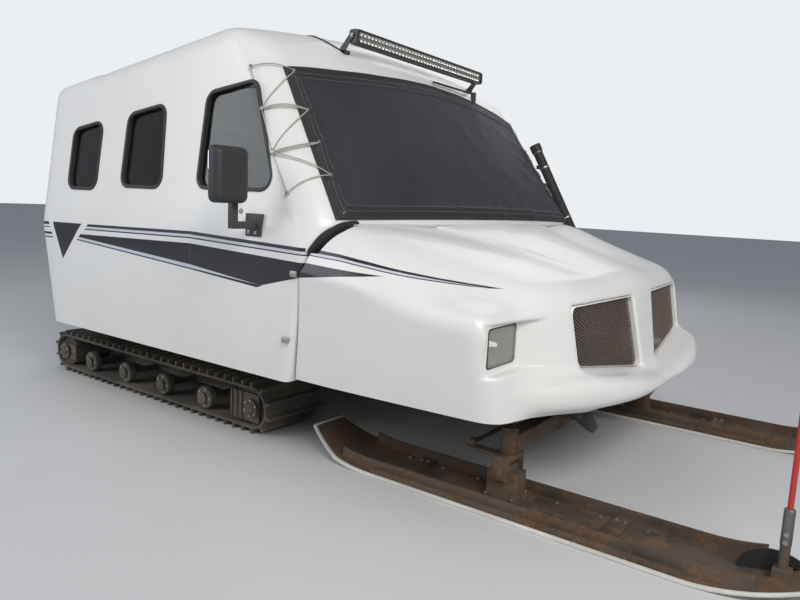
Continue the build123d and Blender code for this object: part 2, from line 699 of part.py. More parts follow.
def clip_section(row, inset):
    """One cross section of the front clip, drawn in by an even distance and open at the foot."""
    x, sill_y, shoulder_y, shoulder_z, valley_y, valley_z, dome_y, dome_z, crease_y, crease_z, crown_z = row
    foot = CLIP_BOTTOM - (2 * inset)
    half = [
        (sill_y - inset, foot), (shoulder_y - inset, shoulder_z - inset),
        (valley_y - inset, valley_z - inset), (dome_y - inset, dome_z - inset), (crease_y, crease_z - inset)]
    points = [(x, -y, z) for y, z in half]
    points.append((x, 0.0, crown_z - inset))
    points += [(x, y, z) for y, z in reversed(half)]
    radii = [0.0, SHOULDER_RADIUS, VALLEY_RADIUS, DOME_RADIUS, 0.0]
    return Face(Wire(soft_edges(points, radii + [0.0] + radii[::-1], flat=inset > 0)))


def full_outline(half_points, inset):
    """A plan outline from its one half, drawn in from the front by an even distance."""
    right = [(x - inset, -max(y - inset, 0.0)) for x, y in half_points]
    left = [(x, -y) for x, y in reversed(right) if y]
    return right + left


def clip_main(inset):
    """Bonnet and wings up to the nose."""
    form = loft([clip_section(row, inset) for row in CLIP_TABLE], ruled=True)
    nose = prism_z(full_outline(NOSE_OUTLINE, inset), 0, BIG / 4)
    return form & nose


def clip_form(inset):
    """The whole front clip as one closed form, drawn in by an even distance."""
    lip = prism_z(full_outline(LIP_OUTLINE, inset), CLIP_BOTTOM - 2 * inset, LIP_TOP - inset)
    if inset:
        lip = chamfer(lip.faces().sort_by(Axis.Z)[-1].edges(), LIP_RADIUS - inset)
    else:
        lip = fillet(lip.faces().sort_by(Axis.Z)[-1].edges(), LIP_RADIUS)
    return clip_main(inset) + lip


def grown_grille(grow):
    """Both grille openings as one tool through the nose."""
    tool = None
    for side in (-1, 1):
        (y0, z0), (y1, z1), (y2, z2), (y3, z3) = GRILLE_OUTLINE
        points = [(side * (y0 + grow), z0 + grow), (side * (y1 - grow), z1 + grow),
                  (side * (y2 - grow), z2 - grow), (side * (y3 + grow), z3 - grow)]
        prism = prism_x(points, POCKET_BACK + 40, BIG / 4)
        tool = prism if tool is None else tool + prism
    return tool


def nose_layer(near, far):
    """The layer between two even depths behind the nose."""
    top = BIG / 4
    behind = prism_z(full_outline(NOSE_OUTLINE, far), 0, top)
    return prism_z(full_outline(NOSE_OUTLINE, near), 0, top) - behind


def both_sides(shape):
    """A shape and its mirror image."""
    return shape + mirrored(shape)


def lamp_pocket(grow):
    """The headlight's pocket as one closed form, its inner wall slanted open ahead of the lamp."""
    inner = POCKET_INNER - grow
    outer = POCKET_OUTER + grow
    back = POCKET_BACK - grow
    front = LAMP_FRONT + POCKET_REACH
    slanted = inner - POCKET_SLANT * POCKET_REACH
    plan = [(back, inner), (LAMP_FRONT, inner), (front, slanted), (front, outer), (back, outer)]
    return prism_z(plan, POCKET_FOOT - grow, POCKET_HEAD + grow)


def make_clip(parts):
    """Tilting front clip with grilles and headlights."""
    outer = clip_form(0.0)
    shell = outer - clip_form(CLIP_WALL)
    frame = nose_layer(0.0, GRILLE_RECESS) & grown_grille(GRILLE_FRAME)
    shell += (frame & outer) + (both_sides(lamp_pocket(POCKET_SKIN)) & outer)
    shell -= grown_grille(0.0)
    shell -= both_sides(lamp_pocket(0.0))
    shell -= cab_solid(-SEAM_GAP)
    arm_points = [
        (CLIP_PIVOT_X - CLIP_EYE, CLIP_PIVOT_Z), (CLIP_PIVOT_X + CLIP_EYE, CLIP_PIVOT_Z),
        (1150.0, 460.0), (1150.0, LIP_TOP - CLIP_WALL), (1045.0, LIP_TOP - CLIP_WALL), (1045.0, 430.0)]
    arm = prism_y(arm_points, CLIP_ARM_Y, CLIP_ARM_Y + CLIP_ARM)
    arm += rod_y(CLIP_PIVOT_X, CLIP_PIVOT_Z, CLIP_ARM_Y, CLIP_ARM_Y + CLIP_ARM, CLIP_EYE)
    arm -= rod_y(CLIP_PIVOT_X, CLIP_PIVOT_Z, CLIP_ARM_Y - 1, CLIP_ARM_Y + CLIP_ARM + 1, CLIP_PIN + SEAT_GAP)
    parts["front_clip"] = shell + both_sides(arm)

    near = GRILLE_RECESS + SEAT_GAP
    mesh = nose_layer(near, near + GRILLE_THICKNESS) & grown_grille(GRILLE_FRAME - 2)
    parts["grilles"] = mesh

    lamp = block(POCKET_BACK, LAMP_FRONT - LAMP_LENS, LAMP_INNER, LAMP_OUTER, LAMP_FOOT, LAMP_HEAD)
    lens = block(LAMP_FRONT - LAMP_LENS, LAMP_FRONT, LAMP_INNER, LAMP_OUTER, LAMP_FOOT, LAMP_HEAD)
    lens = fillet(lens.edges().filter_by(Axis.X), LAMP_CORNER)
    lamp = fillet(lamp.edges().filter_by(Axis.X), LAMP_CORNER)
    parts["headlight_housings"] = both_sides(lamp)
    parts["headlight_lenses"] = both_sides(lens)


def make_chassis(parts):
    """Ladder frame with its towing eyes, engine, rear step and front axle."""
    rail = block(RAIL_REAR, RAIL_FRONT, RAIL_INNER_Y, RAIL_OUTER_Y, CAB_BOTTOM - RAIL_HEIGHT, CAB_BOTTOM)
    frame = both_sides(rail)
    cross_foot = CAB_BOTTOM - (RAIL_HEIGHT + CROSS_SIZE) / 2
    members = None
    for x in CROSS_TABLE:
        member = block(
            x - CROSS_SIZE / 2, x + CROSS_SIZE / 2, -RAIL_INNER_Y, RAIL_INNER_Y,
            cross_foot, cross_foot + CROSS_SIZE)
        members = member if members is None else members + member
    bracket_y = CLIP_ARM_Y + CLIP_ARM + SEAT_GAP
    bracket = prism_y(
        [(RAIL_FRONT - 90, CAB_BOTTOM - RAIL_HEIGHT + 10), (RAIL_FRONT, CAB_BOTTOM - RAIL_HEIGHT + 60),
         (CLIP_PIVOT_X + 20, CLIP_PIVOT_Z + 10), (CLIP_PIVOT_X, CLIP_PIVOT_Z - 20),
         (CLIP_PIVOT_X - 30, CLIP_PIVOT_Z - 10)],
        bracket_y, RAIL_INNER_Y)
    bracket += rod_y(CLIP_PIVOT_X, CLIP_PIVOT_Z, CLIP_ARM_Y - 8, RAIL_INNER_Y, CLIP_PIN)
    frame += both_sides(bracket)
    parts["chassis_cross_members"] = members - both_sides(bracket)
    for x in ARM_TABLE:
        arm = prism_y(
            [(x - 30, 95.0), (x + 30, 95.0), (x + 150, CAB_BOTTOM - RAIL_HEIGHT + 70),
             (x + 60, CAB_BOTTOM - RAIL_HEIGHT + 70)],
            ARM_INNER_Y, ARM_OUTER_Y)
        arm += rod_y(x, 125.0, ARM_INNER_Y, BEAM_INNER_Y, AXLE_RADIUS + 6)
        arm += rod_y(x + 105, CAB_BOTTOM - RAIL_HEIGHT + 45, RAIL_OUTER_Y, ARM_OUTER_Y, 22)
        frame += both_sides(arm)
    hanger = block(
        KINGPIN_X - 30, KINGPIN_X + 30, RAIL_INNER_Y, RAIL_OUTER_Y,
        AXLE_Z + AXLE_TUBE / 2, CAB_BOTTOM - RAIL_HEIGHT)
    frame += both_sides(hanger)
    step = block(STEP_REAR, CAB_REAR - 60, -STEP_HALF, STEP_HALF, STEP_Z - STEP_THICKNESS, STEP_Z)
    parts["rear_step"] = step
    hook = block(
        RAIL_REAR, RAIL_REAR + 60, RAIL_INNER_Y, RAIL_INNER_Y + 20, CAB_BOTTOM, STEP_Z - STEP_THICKNESS)
    parts["chassis_frame"] = frame + both_sides(hook)
    rear_eye = prism_y(
        [(RAIL_REAR, EYE_Z - 40), (RAIL_REAR, EYE_Z + 40), (RAIL_REAR - EYE_REACH, EYE_Z + 25),
         (RAIL_REAR - EYE_REACH, EYE_Z - 25)],
        RAIL_INNER_Y + 20, RAIL_INNER_Y + 20 + EYE_PLATE)
    rear_eye -= rod_y(RAIL_REAR - EYE_BACK, EYE_Z, RAIL_INNER_Y, RAIL_OUTER_Y, EYE_HOLE)
    front_eye = block(
        FRONT_CROSS_X + CROSS_SIZE / 2, FRONT_EYE_X + EYE_BACK, -EYE_HALF, EYE_HALF,
        EYE_Z - EYE_PLATE / 2, EYE_Z + EYE_PLATE / 2)
    front_eye -= rod_z(FRONT_EYE_X, 0, EYE_Z - EYE_PLATE, EYE_Z + EYE_PLATE, EYE_HOLE)
    parts["tow_eyes"] = both_sides(rear_eye) + front_eye

    engine_foot = CAB_BOTTOM + ENGINE_FOOT
    engine = block(
        ENGINE_X - ENGINE_LENGTH / 2, ENGINE_X + ENGINE_LENGTH / 2, -ENGINE_WIDTH / 2, ENGINE_WIDTH / 2,
        engine_foot, engine_foot + ENGINE_HEIGHT)
    for x in (ENGINE_X - 180, ENGINE_X + 180):
        engine += block(x - 40, x + 40, -RAIL_INNER_Y - 20, RAIL_INNER_Y + 20, CAB_BOTTOM, engine_foot)
    parts["engine_block"] = engine

    beam_half = KINGPIN_Y
    axle = block(
        KINGPIN_X - AXLE_TUBE / 2, KINGPIN_X + AXLE_TUBE / 2, -beam_half, beam_half,
        AXLE_Z - AXLE_TUBE / 2, AXLE_Z + AXLE_TUBE / 2)
    axle += both_sides(rod_z(KINGPIN_X, KINGPIN_Y, BARREL_FOOT, BARREL_HEAD, BARREL_RADIUS))
    bore = rod_z(KINGPIN_X, KINGPIN_Y, BARREL_FOOT - 10, BARREL_HEAD + 10, KINGPIN_RADIUS + SEAT_GAP)
    clear = rod_z(KINGPIN_X, KINGPIN_Y, BARREL_FOOT - 60, BARREL_FOOT, BARREL_RADIUS + 60)
    clear += rod_z(KINGPIN_X, KINGPIN_Y, BARREL_HEAD, BARREL_HEAD + 60, BARREL_RADIUS + 60)
    parts["front_axle"] = axle - both_sides(bore + clear)


def belt_ring(radius_out, radius_in):
    """A closed loop of belt between two radii round the end drums."""
    def oval(radius, y0, y1):
        form = block(TRACK_REAR_X, TRACK_FRONT_X, y0, y1, TRACK_RADIUS - radius, TRACK_RADIUS + radius)
        form += rod_y(TRACK_REAR_X, TRACK_RADIUS, y0, y1, radius)
        return form + rod_y(TRACK_FRONT_X, TRACK_RADIUS, y0, y1, radius)
    loop = oval(radius_out, TRACK_INNER_Y, TRACK_OUTER_Y)
    return loop - oval(radius_in, TRACK_INNER_Y - 10, TRACK_OUTER_Y + 10)


def lug_places():
    """Places of the lugs along the loop: x, z and the turn of each."""
    run = TRACK_FRONT_X - TRACK_REAR_X
    belt_radius = TRACK_RADIUS - LUG_HEIGHT
    turn_length = math.pi * belt_radius
    pitch = 2 * (run + turn_length) / LUG_COUNT
    for index in range(LUG_COUNT):
        along = index * pitch
        if along < run:
            yield TRACK_REAR_X + along, 2 * TRACK_RADIUS - LUG_HEIGHT / 2, 0.0
        elif along < run + turn_length:
            turn = (along - run) / belt_radius
            reach = TRACK_RADIUS - LUG_HEIGHT / 2
            x = TRACK_FRONT_X + reach * math.sin(turn)
            yield x, TRACK_RADIUS + reach * math.cos(turn), math.degrees(turn)
        elif along < 2 * run + turn_length:
            yield TRACK_FRONT_X - (along - run - turn_length), LUG_HEIGHT / 2, 0.0
        else:
            turn = math.pi + (along - 2 * run - turn_length) / belt_radius
            reach = TRACK_RADIUS - LUG_HEIGHT / 2
            x = TRACK_REAR_X + reach * math.sin(turn)
            yield x, TRACK_RADIUS + reach * math.cos(turn), math.degrees(turn)


def make_tracks(parts):
    """Both tracks with their wheels and frames."""
    belt_out = TRACK_RADIUS - LUG_HEIGHT
    belt_in = belt_out - TRACK_BELT
    loop = belt_ring(belt_out, belt_in)
    middle_y = (TRACK_INNER_Y + TRACK_OUTER_Y) / 2
    width = TRACK_OUTER_Y - TRACK_INNER_Y
    lugs = []
    for x, z, turn in lug_places():
        lug = Box(LUG_THICKNESS, width, LUG_HEIGHT + 2)
        lugs.append(Pos(x, middle_y, z) * Rot(0, turn, 0) * lug)
    loop = loop.fuse(*lugs)
    parts["track_left"] = loop
    parts["track_right"] = mirrored(loop)

    drum = belt_in - SEAT_GAP
    axle_end = END_PLATE_Y + END_PLATE + 6
    drum_rows = ((TRACK_INNER_Y + 10, BEAM_INNER_Y - 10), (BEAM_OUTER_Y + 10, END_PLATE_Y - 10))
    wheels = []
    for x in (TRACK_REAR_X, TRACK_FRONT_X):
        wheel = faceted_rod(x, TRACK_RADIUS, TRACK_INNER_Y + 10, axle_end, AXLE_RADIUS, AXLE_SIDES)
        for y0, y1 in drum_rows:
            wheel += faceted_rod(x, TRACK_RADIUS, y0, y1, drum, ROAD_WHEEL_SIDES)
        wheels.append(wheel)
    road_z = TRACK_RADIUS - belt_in + ROAD_WHEEL_RADIUS + SEAT_GAP
    road_end = WHEEL_ROW_TABLE[1][1] + 8
    for x in ROAD_WHEEL_TABLE:
        wheel = faceted_rod(x, road_z, WHEEL_ROW_TABLE[0][0], road_end, AXLE_RADIUS, AXLE_SIDES)
        for y0, y1 in WHEEL_ROW_TABLE:
            wheel += faceted_rod(x, road_z, y0, y1, ROAD_WHEEL_RADIUS, ROAD_WHEEL_SIDES)
        wheels.append(wheel)
    wheels = wheels[0].fuse(*wheels[1:])
    frame = block(TRACK_REAR_X - 40, TRACK_FRONT_X + 40, BEAM_INNER_Y, BEAM_OUTER_Y, BEAM_FOOT, BEAM_HEAD)
    plate_rear = TRACK_FRONT_X - 150
    plate = block(
        plate_rear, TRACK_FRONT_X + END_PLATE_REACH, END_PLATE_Y, END_PLATE_Y + END_PLATE,
        TRACK_RADIUS - END_PLATE_HALF, TRACK_RADIUS + END_PLATE_HALF)
    rear_plate = block(
        TRACK_REAR_X - 50, TRACK_REAR_X + 100, END_PLATE_Y, END_PLATE_Y + END_PLATE,
        TRACK_RADIUS - 45, TRACK_RADIUS + 45)
    frame += plate + rear_plate
    frame += block(
        plate_rear, plate_rear + 30, BEAM_OUTER_Y, END_PLATE_Y, TRACK_RADIUS - 30, TRACK_RADIUS + 30)
    rear_strut = TRACK_REAR_X + 92.0
    frame += block(
        rear_strut, rear_strut + 8, BEAM_OUTER_Y, END_PLATE_Y, TRACK_RADIUS - 30, TRACK_RADIUS + 30)
    plate_face = END_PLATE_Y + END_PLATE
    frame += rod_y(TRACK_FRONT_X, TRACK_RADIUS, plate_face, plate_face + BEARING, BEARING_RADIUS)
    for x in RIB_TABLE:
        frame += block(
            x - RIB / 2, x + RIB / 2, plate_face, plate_face + BEARING,
            TRACK_RADIUS - END_PLATE_HALF, TRACK_RADIUS + END_PLATE_HALF)
    frame -= wheels
    parts["track_frame_left"] = frame
    parts["track_frame_right"] = mirrored(frame)
    parts["track_wheels_left"] = wheels
    parts["track_wheels_right"] = mirrored(wheels)


def rise_points(start_x, end_x, rise):
    """Middle and end of an arc that leaves the flat at start_x and climbs by rise at end_x."""
    run = end_x - start_x
    radius = (run * run + rise * rise) / (2 * rise)
    half_turn = math.atan2(rise, abs(run))
    direction = math.copysign(1.0, run)
    middle = (start_x + direction * radius * math.sin(half_turn), radius * (1 - math.cos(half_turn)))
    return middle, (end_x, rise)


def ski_layer(lift, thickness):
    """The ski's side profile as a band of even height, drawn out wide."""
    tail_mid, tail_end = rise_points(SKI_FLAT_REAR, SKI_TAIL, SKI_TAIL_RISE)
    tip_mid, tip_end = rise_points(SKI_FLAT_FRONT, SKI_TIP, SKI_TIP_RISE)

    def up(point, extra):
        return (point[0], point[1] + lift + extra)

    edges = [
        ThreePointArc(up(tail_end, 0), up(tail_mid, 0), (SKI_FLAT_REAR, lift)),
        Line((SKI_FLAT_REAR, lift), (SKI_FLAT_FRONT, lift)),
        ThreePointArc((SKI_FLAT_FRONT, lift), up(tip_mid, 0), up(tip_end, 0)),
        Line(up(tip_end, 0), up(tip_end, thickness)),
        ThreePointArc(up(tip_end, thickness), up(tip_mid, thickness), (SKI_FLAT_FRONT, lift + thickness)),
        Line((SKI_FLAT_FRONT, lift + thickness), (SKI_FLAT_REAR, lift + thickness)),
        ThreePointArc((SKI_FLAT_REAR, lift + thickness), up(tail_mid, thickness), up(tail_end, thickness)),
        Line(up(tail_end, thickness), up(tail_end, 0)),
    ]
    face = Plane.XZ * Face(Wire(edges))
    return extrude(face, BIG / 10, both=True)


def ski_plan(inset):
    """The ski's plan as a tall block: parallel sides, drawn in at the tail and pointed at the tip."""
    half = SKI_HALF - inset
    points = [
        (SKI_TAIL + inset, -half * 0.62), (SKI_TAIL + 180, -half), (SKI_FLAT_FRONT, -half),
        (SKI_TIP - 90, -half * 0.62), (SKI_TIP - inset, -half * 0.25), (SKI_TIP - inset, half * 0.25),
        (SKI_TIP - 90, half * 0.62), (SKI_FLAT_FRONT, half), (SKI_TAIL + 180, half),
        (SKI_TAIL + inset, half * 0.62)]
    return prism_z(points, -BIG / 10, BIG / 4)


def make_skis(parts):
    """Skis with their saddles, knuckles, tie rod and marker rods."""
    centre = Pos(0, KINGPIN_Y, 0)
    base = ski_layer(0.0, SKI_BASE) & ski_plan(0.0)
    pan = ski_layer(SKI_BASE, SKI_PAN) & ski_plan(14.0)
    rail_zone = block(SKI_TAIL + 200, SKI_FLAT_FRONT + 180, SKI_RAIL_Y, SKI_RAIL_Y + SKI_RAIL, -10, BIG / 10)
    rails = ski_layer(SKI_BASE + SKI_PAN, SKI_RAIL_HEIGHT) & both_sides(rail_zone)
    pan_top = SKI_BASE + SKI_PAN
    saddle = block(
        KINGPIN_X - SADDLE_HALF_X, KINGPIN_X + SADDLE_HALF_X, -SADDLE_HALF_Y, SADDLE_HALF_Y,
        pan_top, SKI_PIVOT_Z)
    saddle += rod_y(KINGPIN_X, SKI_PIVOT_Z, -SADDLE_HALF_Y, SADDLE_HALF_Y, 26)
    for x in (KINGPIN_X - 420, KINGPIN_X + 420):
        saddle += block(x - 30, x + 30, -SKI_RAIL_Y, SKI_RAIL_Y, pan_top, pan_top + 16)
    socket_top = pan_top + 190
    socket = block(MARKER_X - 26, MARKER_X + 26, -26, 26, 0, socket_top - 130)
    socket += rod_z(MARKER_X, 0, 0, socket_top, MARKER_SOCKET)
    socket -= ski_layer(-BIG / 10, BIG / 10 + pan_top - 1)
    socket -= rod_z(MARKER_X, 0, socket_top - 60, socket_top + 10, MARKER_RADIUS + SEAT_GAP)
    steel = pan + rails + saddle + socket
    steel -= rod_y(KINGPIN_X, SKI_PIVOT_Z, -BIG / 20, BIG / 20, SKI_PIN + SEAT_GAP)
    marker = rod_z(MARKER_X, 0, socket_top - 60, MARKER_TOP, MARKER_RADIUS)

    yoke_foot = SKI_PIVOT_Z - 26
    yoke_top = BARREL_FOOT - SEAT_GAP
    knuckle = block(
        KINGPIN_X - YOKE_HALF_X, KINGPIN_X + YOKE_HALF_X, -YOKE_HALF_Y, YOKE_HALF_Y, yoke_top - 20, yoke_top)
    ear = block(
        KINGPIN_X - YOKE_HALF_X, KINGPIN_X + YOKE_HALF_X, YOKE_HALF_Y - YOKE_PLATE, YOKE_HALF_Y,
        yoke_foot, yoke_top)
    knuckle += both_sides(ear)
    knuckle += rod_y(KINGPIN_X, SKI_PIVOT_Z, -YOKE_HALF_Y - 8, YOKE_HALF_Y + 8, SKI_PIN)
    knuckle += rod_z(KINGPIN_X, 0, yoke_top - 10, BARREL_HEAD + 20, KINGPIN_RADIUS)
    knuckle += rod_z(KINGPIN_X, 0, BARREL_HEAD + SEAT_GAP, BARREL_HEAD + 14, BARREL_RADIUS)
    arm_top = yoke_top - 8
    knuckle += block(KINGPIN_X - TIE_ROD_BACK - 22, KINGPIN_X, -22, 22, yoke_top - 20, arm_top)
    for side, turned in (("left", False), ("right", True)):
        for name, shape in (("base", base), ("frame", steel), ("marker", marker), ("knuckle", knuckle)):
            placed = centre * shape
            parts[f"ski_{name}_{side}"] = mirrored(placed) if turned else placed
    rod_z_level = arm_top + SEAT_GAP + TIE_ROD_RADIUS + TIE_EYE_LIP
    tie = rod_y(KINGPIN_X - TIE_ROD_BACK, rod_z_level, -KINGPIN_Y, KINGPIN_Y, TIE_ROD_RADIUS)
    eye_top = rod_z_level + TIE_ROD_RADIUS + TIE_EYE_LIP
    for side in (-1, 1):
        tie += rod_z(KINGPIN_X - TIE_ROD_BACK, side * KINGPIN_Y, arm_top + SEAT_GAP, eye_top, TIE_EYE_RADIUS)
    parts["tie_rod"] = tie


def make_pipe(skin):
    """The engine's air intake up the left windscreen pillar, with its cap and two clamps."""
    foot = Vector(*PIPE_FOOT)
    run = Vector(*PIPE_HEAD) - foot
    frame = Plane(origin=foot, z_dir=run)
    pipe = frame * (Pos(0, 0, run.length / 2) * Cylinder(PIPE_RADIUS, run.length))
    pipe += frame * (Pos(0, 0, run.length - PIPE_CAP / 2) * Cylinder(PIPE_CAP_RADIUS, PIPE_CAP))
    for share in PIPE_CLAMPS:
        x, y, z = foot + run * share
        pipe += block(
            x - PIPE_RADIUS, x, y - 2 * PIPE_RADIUS, y, z - PIPE_CLAMP / 2, z + PIPE_CLAMP / 2)
    return pipe - skin


def make_fittings(parts):
    """Light bar, mirrors, intake pipe and wiper."""
    bar = block(BAR_FRONT - BAR_DEPTH, BAR_FRONT - 6, -BAR_HALF, BAR_HALF, BAR_TOP - BAR_HEIGHT, BAR_TOP)
    lens = block(
        BAR_FRONT - 6, BAR_FRONT, -BAR_HALF + 12, BAR_HALF - 12, BAR_TOP - BAR_HEIGHT + 8, BAR_TOP - 8)
    parts["light_bar_lens"] = lens
    skin = cab_solid(-SEAT_GAP)
    foot = block(
        BAR_FRONT - BAR_DEPTH + 10, BAR_FRONT - 12, BAR_HALF, BAR_FOOT_Y,
        BAR_TOP - BAR_HEIGHT - 100, BAR_TOP - 20)
    parts["light_bar"] = bar + (both_sides(foot) - skin)

    side_y = BELT_HALF - SIDE_LEAN * (MIRROR_PLATE_Z - BELT_Z)
    plate = block(
        MIRROR_PLATE_X - 45, MIRROR_PLATE_X + 45, side_y - 30, side_y + 12,
        MIRROR_PLATE_Z - 45, MIRROR_PLATE_Z + 45)
    arm = block(
        MIRROR_PLATE_X - 14, MIRROR_PLATE_X + 14, side_y, MIRROR_Y - 40,
        MIRROR_PLATE_Z - 14, MIRROR_PLATE_Z + 14)
    arm += block(
        MIRROR_PLATE_X - 14, MIRROR_PLATE_X + 14, MIRROR_Y - 68, MIRROR_Y - 40,
        MIRROR_PLATE_Z - 14, MIRROR_Z - MIRROR_HEIGHT / 2 + 30)
    arm += block(
        MIRROR_PLATE_X - 14, MIRROR_X - MIRROR_DEPTH / 2 + 8, MIRROR_Y - 68, MIRROR_Y - 40,
        MIRROR_Z - MIRROR_HEIGHT / 2 + 10, MIRROR_Z - MIRROR_HEIGHT / 2 + 30)
    bracket = (plate + arm) - skin
    head = block(
        MIRROR_X - MIRROR_DEPTH / 2, MIRROR_X + MIRROR_DEPTH / 2, MIRROR_Y - MIRROR_WIDTH / 2,
        MIRROR_Y + MIRROR_WIDTH / 2, MIRROR_Z - MIRROR_HEIGHT / 2, MIRROR_Z + MIRROR_HEIGHT / 2)
    head = fillet(head.edges().filter_by(Axis.X), 30)
    head = fillet(head.faces().sort_by(Axis.X)[-1].edges(), 20)
    bracket -= head
    parts["mirror_arms"] = both_sides(bracket)
    parts["mirror_heads"] = both_sides(head)

    parts["intake_pipe"] = make_pipe(skin)

    header_x, header_z, header_slope = ROOF_PLANES[2]
    wiper_x = header_x + 70.0
    wiper_z = header_z + header_slope * 70.0 + 18.0
    wiper = rod_z(wiper_x, WIPER_Y, wiper_z - 60, wiper_z + 8, 15)
    wiper += block(wiper_x - 6, wiper_x + 6, WIPER_Y - WIPER_LENGTH, WIPER_Y, wiper_z - 4, wiper_z + 4)
    parts["wiper"] = wiper - skin


parts = {}
make_cab(parts)
make_doors(parts)
make_inside(parts)
make_clip(parts)
make_chassis(parts)
make_tracks(parts)
make_skis(parts)
make_fittings(parts)

os.makedirs("parts", exist_ok=True)
for name, shape in parts.items():
    export_step(Pos(SHIFT_X, 0, 0) * shape, f"parts/{name}.step")
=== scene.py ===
"""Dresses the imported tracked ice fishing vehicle: mouldings, glass, cloth, tracks, skis and finishes.

Lengths are metres. Places are written from the cab's lower front edge, with X forward, Y to the left
and Z up from the ground, as the machine is built; FRAME_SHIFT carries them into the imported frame.
"""

from __future__ import annotations

import logging
import math
from dataclasses import dataclass, field
from enum import Enum
from functools import cache
from typing import Callable, Iterable, Sequence

import bmesh
import bpy
import numpy as np
from mathutils import Matrix, Vector
from mathutils.bvhtree import BVHTree

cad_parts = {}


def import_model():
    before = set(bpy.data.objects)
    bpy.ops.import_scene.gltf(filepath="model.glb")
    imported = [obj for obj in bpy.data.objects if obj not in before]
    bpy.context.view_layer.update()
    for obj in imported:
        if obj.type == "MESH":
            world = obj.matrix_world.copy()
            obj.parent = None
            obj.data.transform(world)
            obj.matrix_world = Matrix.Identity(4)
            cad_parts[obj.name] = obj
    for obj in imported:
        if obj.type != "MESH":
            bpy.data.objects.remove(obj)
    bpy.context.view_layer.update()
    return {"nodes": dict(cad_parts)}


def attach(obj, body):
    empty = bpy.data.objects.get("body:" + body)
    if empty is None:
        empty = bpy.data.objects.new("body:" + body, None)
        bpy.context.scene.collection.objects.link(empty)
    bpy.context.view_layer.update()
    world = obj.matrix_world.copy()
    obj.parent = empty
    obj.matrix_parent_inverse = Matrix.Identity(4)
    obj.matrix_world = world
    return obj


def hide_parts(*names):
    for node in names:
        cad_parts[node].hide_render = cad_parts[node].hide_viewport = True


LOG = logging.getLogger("vehicle")

FRAME_SHIFT = 0.125
ROOT = "root"

Point = tuple[float, float, float]
Flat = tuple[float, float]
Outline = Sequence[Flat]
Piece = bpy.types.Object
Socket = bpy.types.NodeSocket
Given = dict[str, Socket]
Nodes = dict[str, Piece]
Colour = tuple[float, float, float]


class Side(Enum):
    """Which side of the machine a piece is on, as the sign of its Y."""

    LEFT = 1
    RIGHT = -1

    @property
    def word(self) -> str:
        """The side's name in piece names."""
        return self.name.lower()


class Axis(Enum):
    """A direction of the machine, as which of across, up and along becomes x, y and z."""

    X = (2, 0, 1)
    Y = (0, 2, 1)
    Z = (0, 1, 2)

    def place(self, a: float, b: float, along: float) -> Point:
        """The point at a and b across the axis and some way along it."""
        return tuple((a, b, along)[number] for number in self.value)


def around(steps: int) -> list[float]:
    """Angles in even steps round a circle."""
    return [2 * math.pi * step / steps for step in range(steps)]


def blank_graph(owner: bpy.types.Material | bpy.types.World) -> "Graph":
    """Switch a material or world to nodes and empty its tree.

    Args:
        owner: The material or the world.

    Returns:
        A graph on its empty tree.
    """
    owner.use_nodes = True
    owner.node_tree.nodes.clear()
    return Graph(owner.node_tree)


class Graph:
    """Adds nodes to a node tree and links them, so that a finish reads as a few lines."""

    def __init__(self, tree: bpy.types.NodeTree) -> None:
        """Keep the tree.

        Args:
            tree: The shader or geometry tree that is being filled.
        """
        self.tree = tree

    def feed(self, socket: Socket, value: object) -> None:
        """Link a socket into an input, or set the input's own value.

        Args:
            socket: The input socket.
            value: An output socket, a number, a vector or a colour.
        """
        if isinstance(value, Socket):
            self.tree.links.new(value, socket)
            return
        if isinstance(value, tuple) and len(value) == 3 and socket.type == "RGBA":
            value = (*value, 1.0)
        socket.default_value = value

    def add(self, kind: str, inputs: dict[object, object] | None = None,
            **settings: object) -> bpy.types.Node:
        """Add one node.

        Args:
            kind: Blender's name of the node type.
            inputs: Input sockets by name or index, and what feeds each.
            **settings: The node's own settings.

        Returns:
            The new node.
        """
        node = self.tree.nodes.new(kind)
        for name, value in settings.items():
            setattr(node, name, value)
        for name, value in (inputs or {}).items():
            self.feed(node.inputs[name], value)
        return node

    def math(self, operation: str, first: object, second: object = 0.0, clamp: bool = False) -> Socket:
        """Add one Math node.

        Args:
            operation: Blender's name of the operation.
            first: First number or socket.
            second: Second number or socket.
            clamp: Whether the result is held between 0 and 1.

        Returns:
            The result's socket.
        """
        node = self.add("ShaderNodeMath", {0: first, 1: second}, operation=operation, use_clamp=clamp)
        return node.outputs[0]

    def mix(self, share: object, first: object, second: object) -> Socket:
        """Mix two colours.

        Args:
            share: How much of the second colour shows, from 0 to 1.
            first: First colour or socket.
            second: Second colour or socket.

        Returns:
            The mixed colour's socket.
        """
        node = self.add("ShaderNodeMix", data_type="RGBA")
        self.feed(node.inputs[0], share)
        self.feed(node.inputs[6], first)
        self.feed(node.inputs[7], second)
        return node.outputs[2]

    def noise(self, vector: object, scale: float, detail: float = 3.0, roughness: float = 0.55) -> Socket:
        """Add a noise texture.

        Args:
            vector: Where the noise is read.
            scale: Cells in a metre.
            detail: Octaves.
            roughness: How strong the finer octaves are.

        Returns:
            The noise value's socket.
        """
        node = self.add("ShaderNodeTexNoise", {"Vector": vector, "Scale": scale, "Detail": detail,
                                               "Roughness": roughness})
        return node.outputs["Fac"]

    def span(self, value: object, low: float, high: float) -> Socket:
        """Stretch a value so that low gives 0 and high gives 1, clamped.

        Args:
            value: The number or socket.
            low: Where the result is 0.
            high: Where the result is 1.

        Returns:
            The result's socket.
        """
        node = self.add("ShaderNodeMapRange", {0: value, 1: low, 2: high, 3: 0.0, 4: 1.0}, clamp=True)
        return node.outputs[0]

    def here(self) -> Socket:
        """The shaded point in the machine's frame."""
        return self.add("ShaderNodeTexCoord").outputs["Object"]


